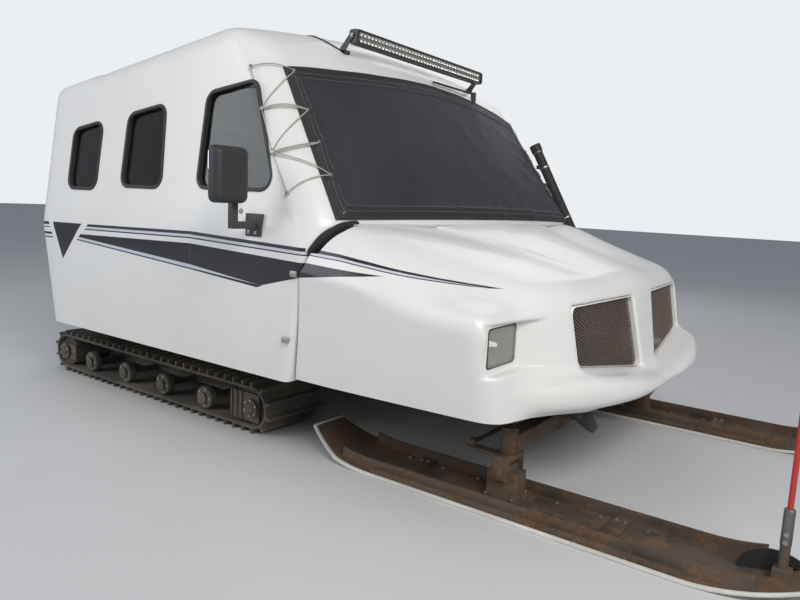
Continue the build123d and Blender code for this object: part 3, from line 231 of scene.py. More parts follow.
def shared_group(name: str, inputs: Sequence[tuple[str, str, object]], outputs: Sequence[tuple[str, str]],
                 fill: Callable[[Graph, Given], dict[str, object]]) -> bpy.types.NodeTree:
    """Build a shader node group once.

    Args:
        name: The group's name.
        inputs: Name, socket kind and starting value of each input.
        outputs: Name and socket kind of each output.
        fill: Adds the nodes, and gives what feeds each output.

    Returns:
        The group's tree.
    """
    tree = bpy.data.node_groups.get(name)
    if tree is not None:
        return tree
    tree = bpy.data.node_groups.new(name, "ShaderNodeTree")
    for label, kind, start in inputs:
        socket = tree.interface.new_socket(label, in_out="INPUT", socket_type=kind)
        socket.default_value = (*start, 1.0) if kind == "NodeSocketColor" else start
    for label, kind in outputs:
        tree.interface.new_socket(label, in_out="OUTPUT", socket_type=kind)
    graph = Graph(tree)
    entry = graph.add("NodeGroupInput")
    result = fill(graph, {socket.name: socket for socket in entry.outputs if socket.name})
    graph.add("NodeGroupOutput", dict(result))
    return tree


def dust_group() -> bpy.types.NodeTree:
    """Dust and dried splashes that thicken towards the ground."""
    def fill(graph: Graph, given: Given) -> dict[str, object]:
        """Add the group's nodes.

        Args:
            graph: The group's graph.
            given: The group's inputs by name.

        Returns:
            What goes to the group's outputs, by name.
        """
        here = graph.here()
        height = graph.add("ShaderNodeSeparateXYZ", {0: here}).outputs[2]
        low = graph.math("SUBTRACT", given["Top"], height)
        fall = graph.math("DIVIDE", low, given["Reach"], clamp=True)
        clouds = graph.noise(here, 4.0, 6.0, 0.65)
        specks = graph.span(graph.noise(here, 90.0, 3.0, 0.7), 0.52, 0.72)
        body = graph.math("MULTIPLY", graph.span(clouds, 0.3, 0.75), fall)
        mask = graph.math("ADD", body, graph.math("MULTIPLY", specks, graph.math("MULTIPLY", fall, 0.4)))
        mask = graph.math("MULTIPLY", mask, given["Amount"], clamp=True)
        return {"Colour": graph.mix(mask, given["Base"], given["Dust"]), "Mask": mask}
    return shared_group("Dust", [("Base", "NodeSocketColor", (0.5, 0.5, 0.5)),
                                 ("Dust", "NodeSocketColor", (0.3, 0.26, 0.2)),
                                 ("Amount", "NodeSocketFloat", 0.5), ("Top", "NodeSocketFloat", 0.6),
                                 ("Reach", "NodeSocketFloat", 0.4)],
                        [("Colour", "NodeSocketColor"), ("Mask", "NodeSocketFloat")], fill)


def grain_group() -> bpy.types.NodeTree:
    """Fine surface grain with broad waves under it, as one height."""
    def fill(graph: Graph, given: Given) -> dict[str, object]:
        """Add the group's nodes.

        Args:
            graph: The group's graph.
            given: The group's inputs by name.

        Returns:
            What goes to the group's outputs, by name.
        """
        here = graph.here()
        fine = graph.add("ShaderNodeTexNoise",
                         {"Vector": here, "Scale": given["Scale"], "Detail": 4.0}).outputs["Fac"]
        broad = graph.noise(here, 7.0, 2.0)
        height = graph.math("ADD", graph.math("MULTIPLY", fine, given["Fine"]),
                            graph.math("MULTIPLY", broad, given["Broad"]))
        return {"Height": height, "Spread": graph.span(graph.noise(here, 12.0, 5.0), 0.3, 0.7)}
    return shared_group("Grain", [("Scale", "NodeSocketFloat", 300.0), ("Fine", "NodeSocketFloat", 1.0),
                                  ("Broad", "NodeSocketFloat", 1.0)],
                        [("Height", "NodeSocketFloat"), ("Spread", "NodeSocketFloat")], fill)


def rust_group() -> bpy.types.NodeTree:
    """Rust that eats through paint in patches, with darker pits."""
    def fill(graph: Graph, given: Given) -> dict[str, object]:
        """Add the group's nodes.

        Args:
            graph: The group's graph.
            given: The group's inputs by name.

        Returns:
            What goes to the group's outputs, by name.
        """
        here = graph.here()
        patches = graph.noise(here, 9.0, 8.0, 0.7)
        edge = graph.math("SUBTRACT", 1.0, given["Amount"])
        mask = graph.span(graph.math("SUBTRACT", patches, edge), -0.03, 0.05)
        tone = graph.span(graph.noise(here, 60.0, 6.0, 0.7), 0.3, 0.7)
        rust = graph.mix(tone, (0.050, 0.028, 0.017), (0.20, 0.105, 0.055))
        return {"Colour": graph.mix(mask, given["Base"], rust), "Mask": mask}
    return shared_group("Rust", [("Base", "NodeSocketColor", (0.1, 0.1, 0.1)),
                                 ("Amount", "NodeSocketFloat", 0.5)],
                        [("Colour", "NodeSocketColor"), ("Mask", "NodeSocketFloat")], fill)


LIVERY_BLACK = (
    # x and z of the corners of each convex patch on the side of the body
    ((-1.362, 0.938), (-0.553, 0.954), (-0.553, 0.940), (-1.375, 0.925)),
    ((-0.553, 0.954), (0.126, 0.932), (0.126, 0.918), (-0.553, 0.940)),
    ((-1.386, 0.914), (-0.553, 0.929), (-0.553, 0.923), (-1.392, 0.908)),
    ((-0.553, 0.929), (0.126, 0.907), (0.126, 0.902), (-0.553, 0.923)),
    ((-1.437, 0.884), (-0.553, 0.902), (-0.560, 0.809), (-1.457, 0.868)),
    ((-0.553, 0.902), (0.140, 0.874), (0.140, 0.827), (-0.120, 0.764), (-0.560, 0.809)),
    ((-1.473, 0.857), (-0.563, 0.794), (-0.563, 0.788), (-1.476, 0.851)),
    ((-0.563, 0.794), (-0.110, 0.764), (-0.140, 0.754), (-0.563, 0.788)),
    ((-1.700, 0.933), (-1.420, 0.937), (-1.640, 0.742)),
    ((-1.865, 0.930), (-1.745, 0.932), (-1.738, 0.917), (-1.867, 0.915)),
    ((-1.868, 0.905), (-1.733, 0.907), (-1.731, 0.902), (-1.868, 0.900)),
    ((-1.869, 0.876), (-1.722, 0.878), (-1.718, 0.866), (-1.869, 0.864)),
    ((-1.870, 0.852), (-1.714, 0.854), (-1.712, 0.848), (-1.870, 0.846)),
)
LIVERY_SILVER = (
    ((-1.375, 0.925), (-0.553, 0.940), (-0.553, 0.929), (-1.386, 0.914)),
    ((-0.553, 0.940), (0.126, 0.918), (0.126, 0.907), (-0.553, 0.929)),
    ((-1.457, 0.868), (-0.560, 0.809), (-0.563, 0.794), (-1.473, 0.857)),
    ((-0.560, 0.809), (-0.120, 0.764), (-0.110, 0.764), (-0.563, 0.794)),
)
CLIP_BLACK = (
    ((0.100, 0.935), (0.274, 0.920), (0.279, 0.908), (0.100, 0.921)),
    ((0.274, 0.920), (0.397, 0.901), (0.403, 0.890), (0.279, 0.908)),
    ((0.397, 0.901), (0.503, 0.881), (0.508, 0.873), (0.403, 0.890)),
    ((0.503, 0.881), (0.622, 0.859), (0.627, 0.853), (0.508, 0.873)),
    ((0.622, 0.859), (0.706, 0.845), (0.701, 0.841), (0.627, 0.853)),
    ((0.706, 0.845), (0.804, 0.831), (0.767, 0.831), (0.701, 0.841)),
    ((0.100, 0.911), (0.285, 0.899), (0.285, 0.895), (0.100, 0.907)),
    ((0.285, 0.899), (0.408, 0.882), (0.408, 0.8785), (0.285, 0.895)),
    ((0.408, 0.882), (0.515, 0.865), (0.515, 0.862), (0.408, 0.8785)),
    ((0.515, 0.865), (0.633, 0.849), (0.633, 0.846), (0.515, 0.862)),
    ((0.633, 0.849), (0.714, 0.838), (0.767, 0.831), (0.714, 0.8355), (0.633, 0.846)),
    ((0.100, 0.879), (0.295, 0.8665), (0.302, 0.842), (0.100, 0.818)),
    ((0.295, 0.8665), (0.467, 0.8575), (0.302, 0.842)),
)
CLIP_SILVER = (
    ((0.100, 0.922), (0.279, 0.908), (0.285, 0.898), (0.100, 0.910)),
    ((0.279, 0.909), (0.403, 0.891), (0.408, 0.881), (0.285, 0.898)),
    ((0.403, 0.891), (0.508, 0.874), (0.515, 0.864), (0.408, 0.881)),
    ((0.508, 0.874), (0.627, 0.854), (0.633, 0.848), (0.515, 0.864)),
    ((0.627, 0.854), (0.701, 0.842), (0.767, 0.832), (0.633, 0.848)),
)


def patch_mask(graph: Graph, here: Socket, patches: Sequence[Outline]
               ) -> Socket:
    """A mask that is 1 inside any of some convex patches, seen along Y.

    Args:
        graph: The tree that is being filled.
        here: The shaded point in the machine's frame.
        patches: Corners of each patch as x and z, clockwise or not.

    Returns:
        The mask's socket.
    """
    softness = 0.0006
    whole = None
    for corners in patches:
        centre_x = sum(x for x, _ in corners) / len(corners)
        centre_z = sum(z for _, z in corners) / len(corners)
        inside = None
        for (x0, z0), (x1, z1) in zip(corners, [*corners[1:], corners[0]]):
            normal = (z1 - z0, 0.0, x0 - x1)
            length = math.hypot(normal[0], normal[2])
            turn = math.copysign(1.0 / length, (centre_x - x0) * normal[0] + (centre_z - z0) * normal[2])
            normal = (normal[0] * turn, 0.0, normal[2] * turn)
            start = (x0 + FRAME_SHIFT) * normal[0] + z0 * normal[2]
            depth = graph.add("ShaderNodeVectorMath", {0: here, 1: normal},
                              operation="DOT_PRODUCT").outputs["Value"]
            depth = graph.math("SUBTRACT", depth, start)
            inside = depth if inside is None else graph.math("MINIMUM", inside, depth)
        whole = inside if whole is None else graph.math("MAXIMUM", whole, inside)
    return graph.span(whole, -softness, softness)


class Livery(Enum):
    """Which stripes a moulding carries, as black and silver patches."""

    CAB = (LIVERY_BLACK, LIVERY_SILVER)
    CLIP = (CLIP_BLACK, CLIP_SILVER)


def livery_group(livery: Livery) -> bpy.types.NodeTree:
    """The stripes on the side of the body, as colour over a base.

    Args:
        livery: Which stripes.

    Returns:
        The group's tree.
    """
    black, silver = livery.value

    def fill(graph: Graph, given: Given) -> dict[str, object]:
        """Add the group's nodes.

        Args:
            graph: The group's graph.
            given: The group's inputs by name.

        Returns:
            What goes to the group's outputs, by name.
        """
        here = graph.here()
        across = graph.add("ShaderNodeSeparateXYZ", {0: here}).outputs[1]
        outside = graph.span(graph.math("ABSOLUTE", across), 0.60, 0.62)
        dark = graph.math("MULTIPLY", patch_mask(graph, here, black), outside)
        pale = graph.math("MULTIPLY", patch_mask(graph, here, silver), outside)
        colour = graph.mix(pale, given["Base"], (0.62, 0.62, 0.70))
        return {"Colour": graph.mix(dark, colour, (0.012, 0.014, 0.020)), "Mask": dark}
    return shared_group(f"Stripes on the {livery.name.lower()}",
                        [("Base", "NodeSocketColor", (0.8, 0.8, 0.8))],
                        [("Colour", "NodeSocketColor"), ("Mask", "NodeSocketFloat")], fill)


@dataclass(frozen=True)
class Finish:
    """One opaque finish with grain, dust, rust and, where it has them, stripes."""

    name: str
    slot: str
    colour: Colour
    roughness: float = 0.5
    metallic: float = 0.0
    coat: float = 0.0
    mottle: float = 0.06
    grain_scale: float = 320.0
    grain_fine: float = 0.3
    grain_broad: float = 0.0
    bump: float = 0.15
    dust: float = 0.0
    dust_top: float = 0.6
    dust_reach: float = 0.4
    dust_colour: Colour = (0.30, 0.26, 0.21)
    rust: float = 0.0
    livery: Livery | None = None
    glow: float = 0.0

    @cache
    def material(self) -> bpy.types.Material:
        """The material, built when it is first asked for."""
        material = bpy.data.materials.new(self.name)
        graph = blank_graph(material)
        darker, lighter = (tuple(min(1.0, c * (1.0 + turn * self.mottle)) for c in self.colour)
                           for turn in (-1, 1))
        colour = graph.mix(graph.span(graph.noise(graph.here(), 3.0, 5.0, 0.6), 0.3, 0.7), darker, lighter)
        grain = graph.add("ShaderNodeGroup", {"Scale": self.grain_scale, "Fine": self.grain_fine,
                                              "Broad": self.grain_broad}, node_tree=grain_group())
        rough = graph.math("ADD", graph.math("MULTIPLY", grain.outputs["Spread"], 0.12),
                           self.roughness - 0.06)
        if self.livery:
            stripes = graph.add("ShaderNodeGroup", {"Base": colour}, node_tree=livery_group(self.livery))
            colour = stripes.outputs["Colour"]
        if self.rust:
            rust = graph.add("ShaderNodeGroup", {"Base": colour, "Amount": self.rust}, node_tree=rust_group())
            colour = rust.outputs["Colour"]
            rough = graph.math("ADD", rough, graph.math("MULTIPLY", rust.outputs["Mask"], 0.35), clamp=True)
        if self.dust:
            dust = graph.add("ShaderNodeGroup",
                             {"Base": colour, "Dust": self.dust_colour, "Amount": self.dust,
                                                 "Top": self.dust_top, "Reach": self.dust_reach},
                             node_tree=dust_group())
            colour = dust.outputs["Colour"]
            rough = graph.math("ADD", rough, graph.math("MULTIPLY", dust.outputs["Mask"], 0.3), clamp=True)
        bump = graph.add("ShaderNodeBump", {"Strength": self.bump, "Distance": 0.002,
                                            "Height": grain.outputs["Height"]})
        shader = graph.add("ShaderNodeBsdfPrincipled", {"Base Color": colour, "Roughness": rough,
                                                        "Metallic": self.metallic, "Coat Weight": self.coat,
                                                        "Coat Roughness": 0.12, "Normal": bump.outputs[0]})
        if self.glow:
            graph.feed(shader.inputs["Emission Color"], self.colour)
            shader.inputs["Emission Strength"].default_value = self.glow
        graph.add("ShaderNodeOutputMaterial", {0: shader.outputs[0]})
        return material


@dataclass(frozen=True)
class GlassFinish:
    """A clear or tinted glass."""

    name: str
    slot: str
    colour: Colour
    roughness: float = 0.03
    transmission: float = 1.0
    alpha: float = 1.0

    @cache
    def material(self) -> bpy.types.Material:
        """The material, built when it is first asked for."""
        material = bpy.data.materials.new(self.name)
        graph = blank_graph(material)
        smears = graph.span(graph.noise(graph.here(), 14.0, 5.0, 0.65), 0.35, 0.75)
        rough = graph.math("ADD", graph.math("MULTIPLY", smears, 0.06), self.roughness)
        colour = graph.mix(smears, self.colour, tuple(c * 0.92 for c in self.colour))
        shader = graph.add("ShaderNodeBsdfPrincipled", {"Base Color": colour, "Roughness": rough, "IOR": 1.46,
                                                        "Transmission Weight": self.transmission,
                                                        "Alpha": self.alpha})
        graph.add("ShaderNodeOutputMaterial", {0: shader.outputs[0]})
        return material


AnyFinish = Finish | GlassFinish

CAB_GEL = Finish("cab_gel_coat", "cab_moulding", (0.80, 0.80, 0.79), 0.36, coat=0.25, mottle=0.02,
                 grain_broad=0.5, grain_fine=0.0, bump=0.05, dust=0.30, dust_top=0.75, dust_reach=0.5,
                 dust_colour=(0.56, 0.53, 0.47), livery=Livery.CAB)
CLIP_GEL = Finish("clip_gel_coat", "clip_moulding", (0.81, 0.81, 0.80), 0.36, coat=0.25, mottle=0.02,
                  grain_broad=0.5, grain_fine=0.0, bump=0.05, dust=0.22, dust_top=0.6, dust_reach=0.3,
                  dust_colour=(0.58, 0.55, 0.48), livery=Livery.CLIP)
PLAIN_GEL = Finish("plain_gel_coat", "cab_moulding", (0.80, 0.80, 0.79), 0.32, coat=0.3, mottle=0.02,
                   dust=0.2, dust_top=0.9, dust_reach=0.7, dust_colour=(0.56, 0.53, 0.47))
REVEAL = Finish("window_reveal", "cab_moulding", (0.60, 0.53, 0.42), 0.6, mottle=0.06)
LINER = Finish("cab_liner", "cab_moulding", (0.52, 0.47, 0.39), 0.75, mottle=0.06, grain_fine=0.8, bump=0.3)
COVER = Finish("cover_cloth", "cover_vinyl", (0.022, 0.025, 0.031), 0.56, mottle=0.25, grain_scale=900.0,
               grain_fine=0.8, bump=0.35, dust=0.15, dust_top=2.2, dust_reach=1.4,
               dust_colour=(0.07, 0.07, 0.07))
HEM = Finish("cover_hem", "cover_vinyl", (0.021, 0.021, 0.024), 0.58, mottle=0.12, grain_scale=900.0,
             grain_fine=0.8, bump=0.35)
BINDING = Finish("cover_binding", "cover_vinyl", (0.030, 0.025, 0.022), 0.7, mottle=0.15)
THREAD = Finish("cover_thread", "cover_vinyl", (0.22, 0.22, 0.22), 0.8)
CORD = Finish("lacing_cord", "cover_vinyl", (0.42, 0.40, 0.37), 0.85, mottle=0.12, grain_scale=700.0,
              grain_fine=1.0, bump=0.6)
SEAL = Finish("window_rubber", "black_plastic", (0.022, 0.022, 0.023), 0.55, mottle=0.1)
SIDE_GLASS = GlassFinish("side_glass_tint", "clear_glass", (0.20, 0.22, 0.22))
SCREEN_GLASS = GlassFinish("screen_glass", "clear_glass", (0.80, 0.86, 0.85))
LAMP_GLASS = GlassFinish("lamp_pane", "lamp_glass", (0.62, 0.63, 0.57), 0.05, 0.0, 0.26)
BAR_GLASS = GlassFinish("bar_glass", "lamp_glass", (0.75, 0.77, 0.74), 0.03, 0.0, 0.10)
LAMP_SHELL = Finish("lamp_shell", "lamp_body", (0.030, 0.030, 0.032), 0.45, mottle=0.1)
REFLECTOR = Finish("lamp_reflector", "lamp_body", (0.52, 0.53, 0.50), 0.20, metallic=1.0, mottle=0.05)
LAMP_BOWL = Finish("lamp_bowl", "lamp_body", (0.27, 0.28, 0.26), 0.34, metallic=0.8, mottle=0.1)
LED = Finish("led_lamp", "lamp_body", (0.92, 0.92, 0.84), 0.3, glow=0.55)
MESH = Finish("grille_wire", "grille_mesh", (0.27, 0.215, 0.185), 0.45, metallic=0.3, mottle=0.2, dust=0.3,
              dust_top=0.8, dust_reach=0.3, dust_colour=(0.26, 0.20, 0.15))
PLASTIC = Finish("black_moulding", "black_plastic", (0.030, 0.030, 0.033), 0.5, mottle=0.1, grain_fine=0.7,
                 bump=0.3)
MIRROR = Finish("mirror_glass", "black_plastic", (0.75, 0.78, 0.80), 0.03, metallic=1.0, mottle=0.0, bump=0.0)
BLACK_STEEL = Finish("painted_steel", "black_steel", (0.045, 0.045, 0.046), 0.5, mottle=0.15, dust=0.6,
                     dust_top=0.5, dust_reach=0.45, rust=0.34)
TRACK_STEEL = Finish("track_steel", "black_steel", (0.075, 0.068, 0.060), 0.6, metallic=0.4, mottle=0.2,
                     dust=0.7, dust_top=0.45, dust_reach=0.4, rust=0.42)
RUSTY = Finish("rusted_steel", "rusty_steel", (0.070, 0.055, 0.043), 0.6, metallic=0.2, mottle=0.4, rust=0.50,
               dust=0.35, dust_top=0.4, dust_reach=0.4, dust_colour=(0.22, 0.17, 0.12))
ZINC = Finish("zinc_bolts", "rusty_steel", (0.42, 0.41, 0.38), 0.42, metallic=0.9, mottle=0.15, rust=0.36)
SEAT = Finish("seat_cloth", "seat_vinyl", (0.075, 0.075, 0.080), 0.5, mottle=0.1, grain_scale=260.0,
              grain_fine=0.9, bump=0.4)
ALLOY = Finish("step_alloy", "floor_lid_alloy", (0.52, 0.53, 0.54), 0.42, metallic=0.8, mottle=0.08, dust=0.3)
CHROME = Finish("handle_steel", "handle_chrome", (0.60, 0.60, 0.60), 0.25, metallic=1.0, mottle=0.05)
RUBBER = Finish("belt_rubber", "track_rubber", (0.060, 0.055, 0.050), 0.78, mottle=0.2, grain_fine=1.0,
                bump=0.5, dust=0.85, dust_top=0.5, dust_reach=0.5, dust_colour=(0.23, 0.20, 0.16))
WHEEL = Finish("roller_rubber", "wheel_rubber", (0.035, 0.034, 0.033), 0.7, mottle=0.15, dust=0.7,
               dust_top=0.4, dust_reach=0.4)
SKI_WHITE = Finish("runner_plastic", "ski_plastic", (0.74, 0.73, 0.69), 0.45, mottle=0.08, dust=0.45,
                   dust_top=0.25, dust_reach=0.25)
MARKER = Finish("marker_paint", "marker_red", (0.46, 0.035, 0.035), 0.4, mottle=0.1)
TUBE = Finish("stay_tube", "black_steel", (0.16, 0.16, 0.165), 0.4, metallic=0.5, mottle=0.1)


def plain(obj: Piece) -> Piece:
    """Turn an object with modifiers into one with a plain mesh and none.

    Args:
        obj: The object, which is taken away.

    Returns:
        The new object, under the same name.
    """
    bpy.context.view_layer.update()
    graph = bpy.context.evaluated_depsgraph_get()
    mesh = bpy.data.meshes.new_from_object(obj.evaluated_get(graph), depsgraph=graph)
    name = obj.name
    bpy.data.objects.remove(obj)
    made = bpy.data.objects.new(name, mesh)
    bpy.context.scene.collection.objects.link(made)
    made.name = name
    return made


def finished(obj: Piece, kind: str, **settings: object) -> Piece:
    """Apply one modifier to an object.

    Args:
        obj: The object, which is taken away.
        kind: Blender's name of the modifier.
        **settings: The modifier's own settings.

    Returns:
        The plain object.
    """
    modifier = obj.modifiers.new(kind.lower(), kind)
    for name, value in settings.items():
        setattr(modifier, name, value)
    return plain(obj)


def carved(obj: Piece, cutter: Piece, operation: str = "DIFFERENCE") -> Piece:
    """Cut an object with another, whose finish the cut faces take.

    Args:
        obj: The object, which is taken away.
        cutter: The other one, which is taken away too.
        operation: Blender's name of the operation.

    Returns:
        The plain object.
    """
    made = finished(obj, "BOOLEAN", object=cutter, operation=operation, solver="EXACT",
                    material_mode="TRANSFER")
    bpy.data.objects.remove(cutter)
    return made


def redressed(obj: Piece, finish: AnyFinish) -> Piece:
    """Give all of an object's faces one finish.

    Args:
        obj: The object.
        finish: The finish.

    Returns:
        The same object.
    """
    obj.data.materials.clear()
    obj.data.materials.append(finish.material())
    for face in obj.data.polygons:
        face.material_index = 0
    return obj


def raw_object(name: str, points: object, faces: Iterable[Sequence[int]], finish: AnyFinish | None = None,
               shift: bool = True) -> Piece:
    """Make an object from corners and faces.

    Args:
        name: The object's name.
        points: Corners, from the cab's lower front edge.
        faces: Corner numbers of each face.
        finish: What it is dressed in.
        shift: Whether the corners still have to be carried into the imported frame.

    Returns:
        The object, which rides on nothing yet.
    """
    corners = np.array(points, float).reshape(-1, 3)
    if shift:
        corners = corners + (FRAME_SHIFT, 0.0, 0.0)
    mesh = bpy.data.meshes.new(name)
    mesh.from_pydata(corners.tolist(), [], [list(face) for face in faces])
    mesh.update()
    made = bpy.data.objects.new(name, mesh)
    bpy.context.scene.collection.objects.link(made)
    if finish is not None:
        mesh.materials.append(finish.material())
    return made


def weld(obj: Piece, reach: float = 1e-5, outward: bool = True) -> Piece:
    """Merge corners that lie together and point the faces outward.

    Args:
        obj: The object that is changed.
        reach: How near two corners are merged.
        outward: Whether the faces are turned outward.

    Returns:
        The same object.
    """
    work = bmesh.new()
    work.from_mesh(obj.data)
    bmesh.ops.remove_doubles(work, verts=work.verts, dist=reach)
    bmesh.ops.dissolve_degenerate(work, dist=reach, edges=work.edges)
    if outward:
        bmesh.ops.recalc_face_normals(work, faces=work.faces)
    work.to_mesh(obj.data)
    work.free()
    return obj


def skin(name: str, rings: Sequence[Sequence[Point]], finish: AnyFinish | None = None, closed: bool = False,
         ends: tuple[bool, bool] = (True, True), reach: float = 1e-5, shift: bool = True) -> Piece:
    """Lay faces between rings of points.

    Args:
        name: The object's name.
        rings: The points round each ring, as many in each.
        finish: What it is dressed in.
        closed: Whether the last ring meets the first.
        ends: Whether the first and the last ring are filled.
        reach: How near two corners are merged, or 0 to leave the faces as they are laid.
        shift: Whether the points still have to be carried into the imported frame.

    Returns:
        The object.
    """
    count, size = len(rings), len(rings[0])
    faces: list[tuple[int, ...]] = []
    for ring in range(count if closed else count - 1):
        low, high = ring * size, (ring + 1) % count * size
        faces += [(low + a, low + (a + 1) % size, high + (a + 1) % size, high + a) for a in range(size)]
    if ends[0] and not closed:
        faces.append(tuple(range(size - 1, -1, -1)))
    if ends[1] and not closed:
        faces.append(tuple(range((count - 1) * size, count * size)))
    made = raw_object(name, [point for ring in rings for point in ring], faces, finish, shift)
    return weld(made, reach) if reach else made


def settle(obj: Piece, body: str, finish: AnyFinish, replaced: Sequence[str] = (), angle: float = 35.0
           ) -> Piece:
    """Shade a finished piece, put it on its body and hide the CAD nodes that it stands for.

    Args:
        obj: The finished piece.
        body: The CAD body that it moves with.
        finish: Not used.
        replaced: CAD nodes that it stands for.
        angle: Edges sharper than this, in degrees, stay sharp.

    Returns:
        The same object.
    """
    obj.data.shade_smooth()
    obj.data.set_sharp_from_angle(angle=math.radians(angle))
    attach(obj, body)
    if replaced:
        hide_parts(*replaced)
    LOG.info("%s rides on %s", obj.name, body)
    return obj


def join(name: str, pieces: Sequence[Piece]) -> Piece:
    """Join meshes into one object, keeping their materials.

    Args:
        name: The joined object's name.
        pieces: The objects, which are taken away.

    Returns:
        The joined object.
    """
    work = bmesh.new()
    materials: list[bpy.types.Material] = []
    for obj in pieces:
        mesh = obj.data
        numbers = []
        for material in mesh.materials:
            if material not in materials:
                materials.append(material)
            numbers.append(materials.index(material))
        part = bmesh.new()
        part.from_mesh(mesh)
        for face in part.faces:
            face.material_index = numbers[face.material_index] if numbers else 0
        copy = bpy.data.meshes.new("part")
        part.to_mesh(copy)
        part.free()
        work.from_mesh(copy)
        bpy.data.meshes.remove(copy)
        bpy.data.objects.remove(obj)
    mesh = bpy.data.meshes.new(name)
    work.to_mesh(mesh)
    work.free()
    for material in materials:
        mesh.materials.append(material)
    made = bpy.data.objects.new(name, mesh)
    bpy.context.scene.collection.objects.link(made)
    return made


def box_mesh(low: Point, high: Point) -> tuple[np.ndarray, list[tuple[int, ...]]]:
    """Corners and faces of a box.

    Args:
        low: Lowest corner.
        high: Highest corner.

    Returns:
        The corners and the faces.
    """
    corners = np.array([(x, y, z) for x in (low[0], high[0]) for y in (low[1], high[1])
                        for z in (low[2], high[2])])
    faces = [(0, 1, 3, 2), (4, 6, 7, 5), (0, 4, 5, 1), (2, 3, 7, 6), (0, 2, 6, 4), (1, 5, 7, 3)]
    return corners, faces


def block(name: str, low: Point, high: Point, finish: AnyFinish, bevel: float = 0.003, segments: int = 2
          ) -> Piece:
    """A box with rounded edges.

    Args:
        name: Its name.
        low: Lowest corner.
        high: Highest corner.
        finish: What it is dressed in.
        bevel: Width of the rounded edges.
        segments: Faces across each rounded edge.

    Returns:
        The object.
    """
    return finished(weld(raw_object(name, *box_mesh(low, high), finish)), "BEVEL", width=bevel,
                    segments=segments)


def rounded_polygon(corners: Outline, radius: float, steps: int = 6) -> list[Flat]:
    """A polygon with each corner turned into an arc.

    Args:
        corners: The polygon's corners.
        radius: Radius of each arc.
        steps: Runs along each arc.

    Returns:
        The points of the rounded outline.
    """
    outline = []
    count = len(corners)
    for index in range(count):
        here = Vector(corners[index])
        back = (Vector(corners[index - 1]) - here).normalized()
        ahead = (Vector(corners[(index + 1) % count]) - here).normalized()
        half = back.angle(ahead) / 2
        middle = here + (back + ahead).normalized() * (radius / math.sin(half))
        start = here + back * (radius / math.tan(half)) - middle
        end = here + ahead * (radius / math.tan(half)) - middle
        for step in range(steps + 1):
            point = middle + start.normalized().slerp(end.normalized(), step / steps) * radius
            outline.append((point.x, point.y))
    return outline


def prism(name: str, outline: Outline, axis: Axis, low: float, high: float,
          finish: AnyFinish | None = None) -> Piece:
    """An outline drawn out along one axis.

    Args:
        name: Its name.
        outline: Points across the other two axes, in their order.
        axis: Which way it runs.
        low: Where it starts.
        high: Where it ends.
        finish: What it is dressed in.

    Returns:
        The object.
    """
    return skin(name, [[axis.place(a, b, level) for a, b in outline] for level in (low, high)], finish)


def lathe(name: str, profile: Outline, centre: Point, axis: Axis, finish: AnyFinish,
          steps: int = 32) -> Piece:
    """A closed profile of distance along the axis and radius, spun round the axis.

    Args:
        name: Its name.
        profile: Distance along the axis and radius of each point.
        centre: Where distance 0 lies.
        axis: Which way it runs.
        finish: What it is dressed in.
        steps: Faces round the axis.

    Returns:
        The object.
    """
    rings = [[Vector(centre) + Vector(axis.place(radius * math.cos(angle), radius * math.sin(angle), along))
              for along, radius in profile] for angle in around(steps)]
    return skin(name, rings, finish, closed=True)


def bar(name: str, start: Point, end: Point, radius: float, finish: AnyFinish, steps: int = 16) -> Piece:
    """A round bar between two points.

    Args:
        name: Its name.
        start: One end.
        end: Other end.
        radius: Its radius.
        finish: What it is dressed in.
        steps: Faces round it.

    Returns:
        The object.
    """
    run = Vector(end) - Vector(start)
    turn = run.to_track_quat("Z", "Y").to_matrix()
    chamfer = min(radius * 0.25, run.length / 4)
    rows = ((0.0, radius - chamfer), (chamfer, radius), (run.length - chamfer, radius),
            (run.length, radius - chamfer))
    rings = [[Vector(start) + turn @ Vector((size * math.cos(angle), size * math.sin(angle), along))
              for angle in around(steps)] for along, size in rows]
    return skin(name, rings, finish, reach=0.0)


def tube(name: str, path: Sequence[Point], radius: float, finish: AnyFinish, steps: int = 8) -> Piece:
    """A round tube along a path, closed at both ends.

    Args:
        name: Its name.
        path: Points along its middle.
        radius: Its radius.
        finish: What it is dressed in.
        steps: Faces round it.

    Returns:
        The object.
    """
    middle = [Vector(point) for point in path]
    side = (middle[1] - middle[0]).orthogonal().normalized()
    rings = []
    for index, point in enumerate(middle):
        run = (middle[min(index + 1, len(middle) - 1)] - middle[max(index - 1, 0)]).normalized()
        side = (side - run * side.dot(run)).normalized()
        other = run.cross(side)
        rings.append([point + (side * math.cos(a) + other * math.sin(a)) * radius for a in around(steps)])
    return skin(name, rings, finish, reach=0.0)


def trim_ring(name: str, inner: Outline, outer: Outline,
              rows: Outline, place: Callable[[float, float, float], Point], finish: AnyFinish
              ) -> Piece:
    """A ring of one section round an opening.

    Args:
        name: Its name.
        inner: Inner outline.
        outer: Outer outline, point for point.
        rows: The section's points, as the share from inner to outer and the height above the panel.
        place: Gives the point for two outline places and a height above the panel.
        finish: What it is dressed in.

    Returns:
        The object.
    """
    rings = [[place(a0 + (a1 - a0) * share, b0 + (b1 - b0) * share, lift) for share, lift in rows]
             for (a0, b0), (a1, b1) in zip(inner, outer)]
    return skin(name, rings, finish, closed=True)


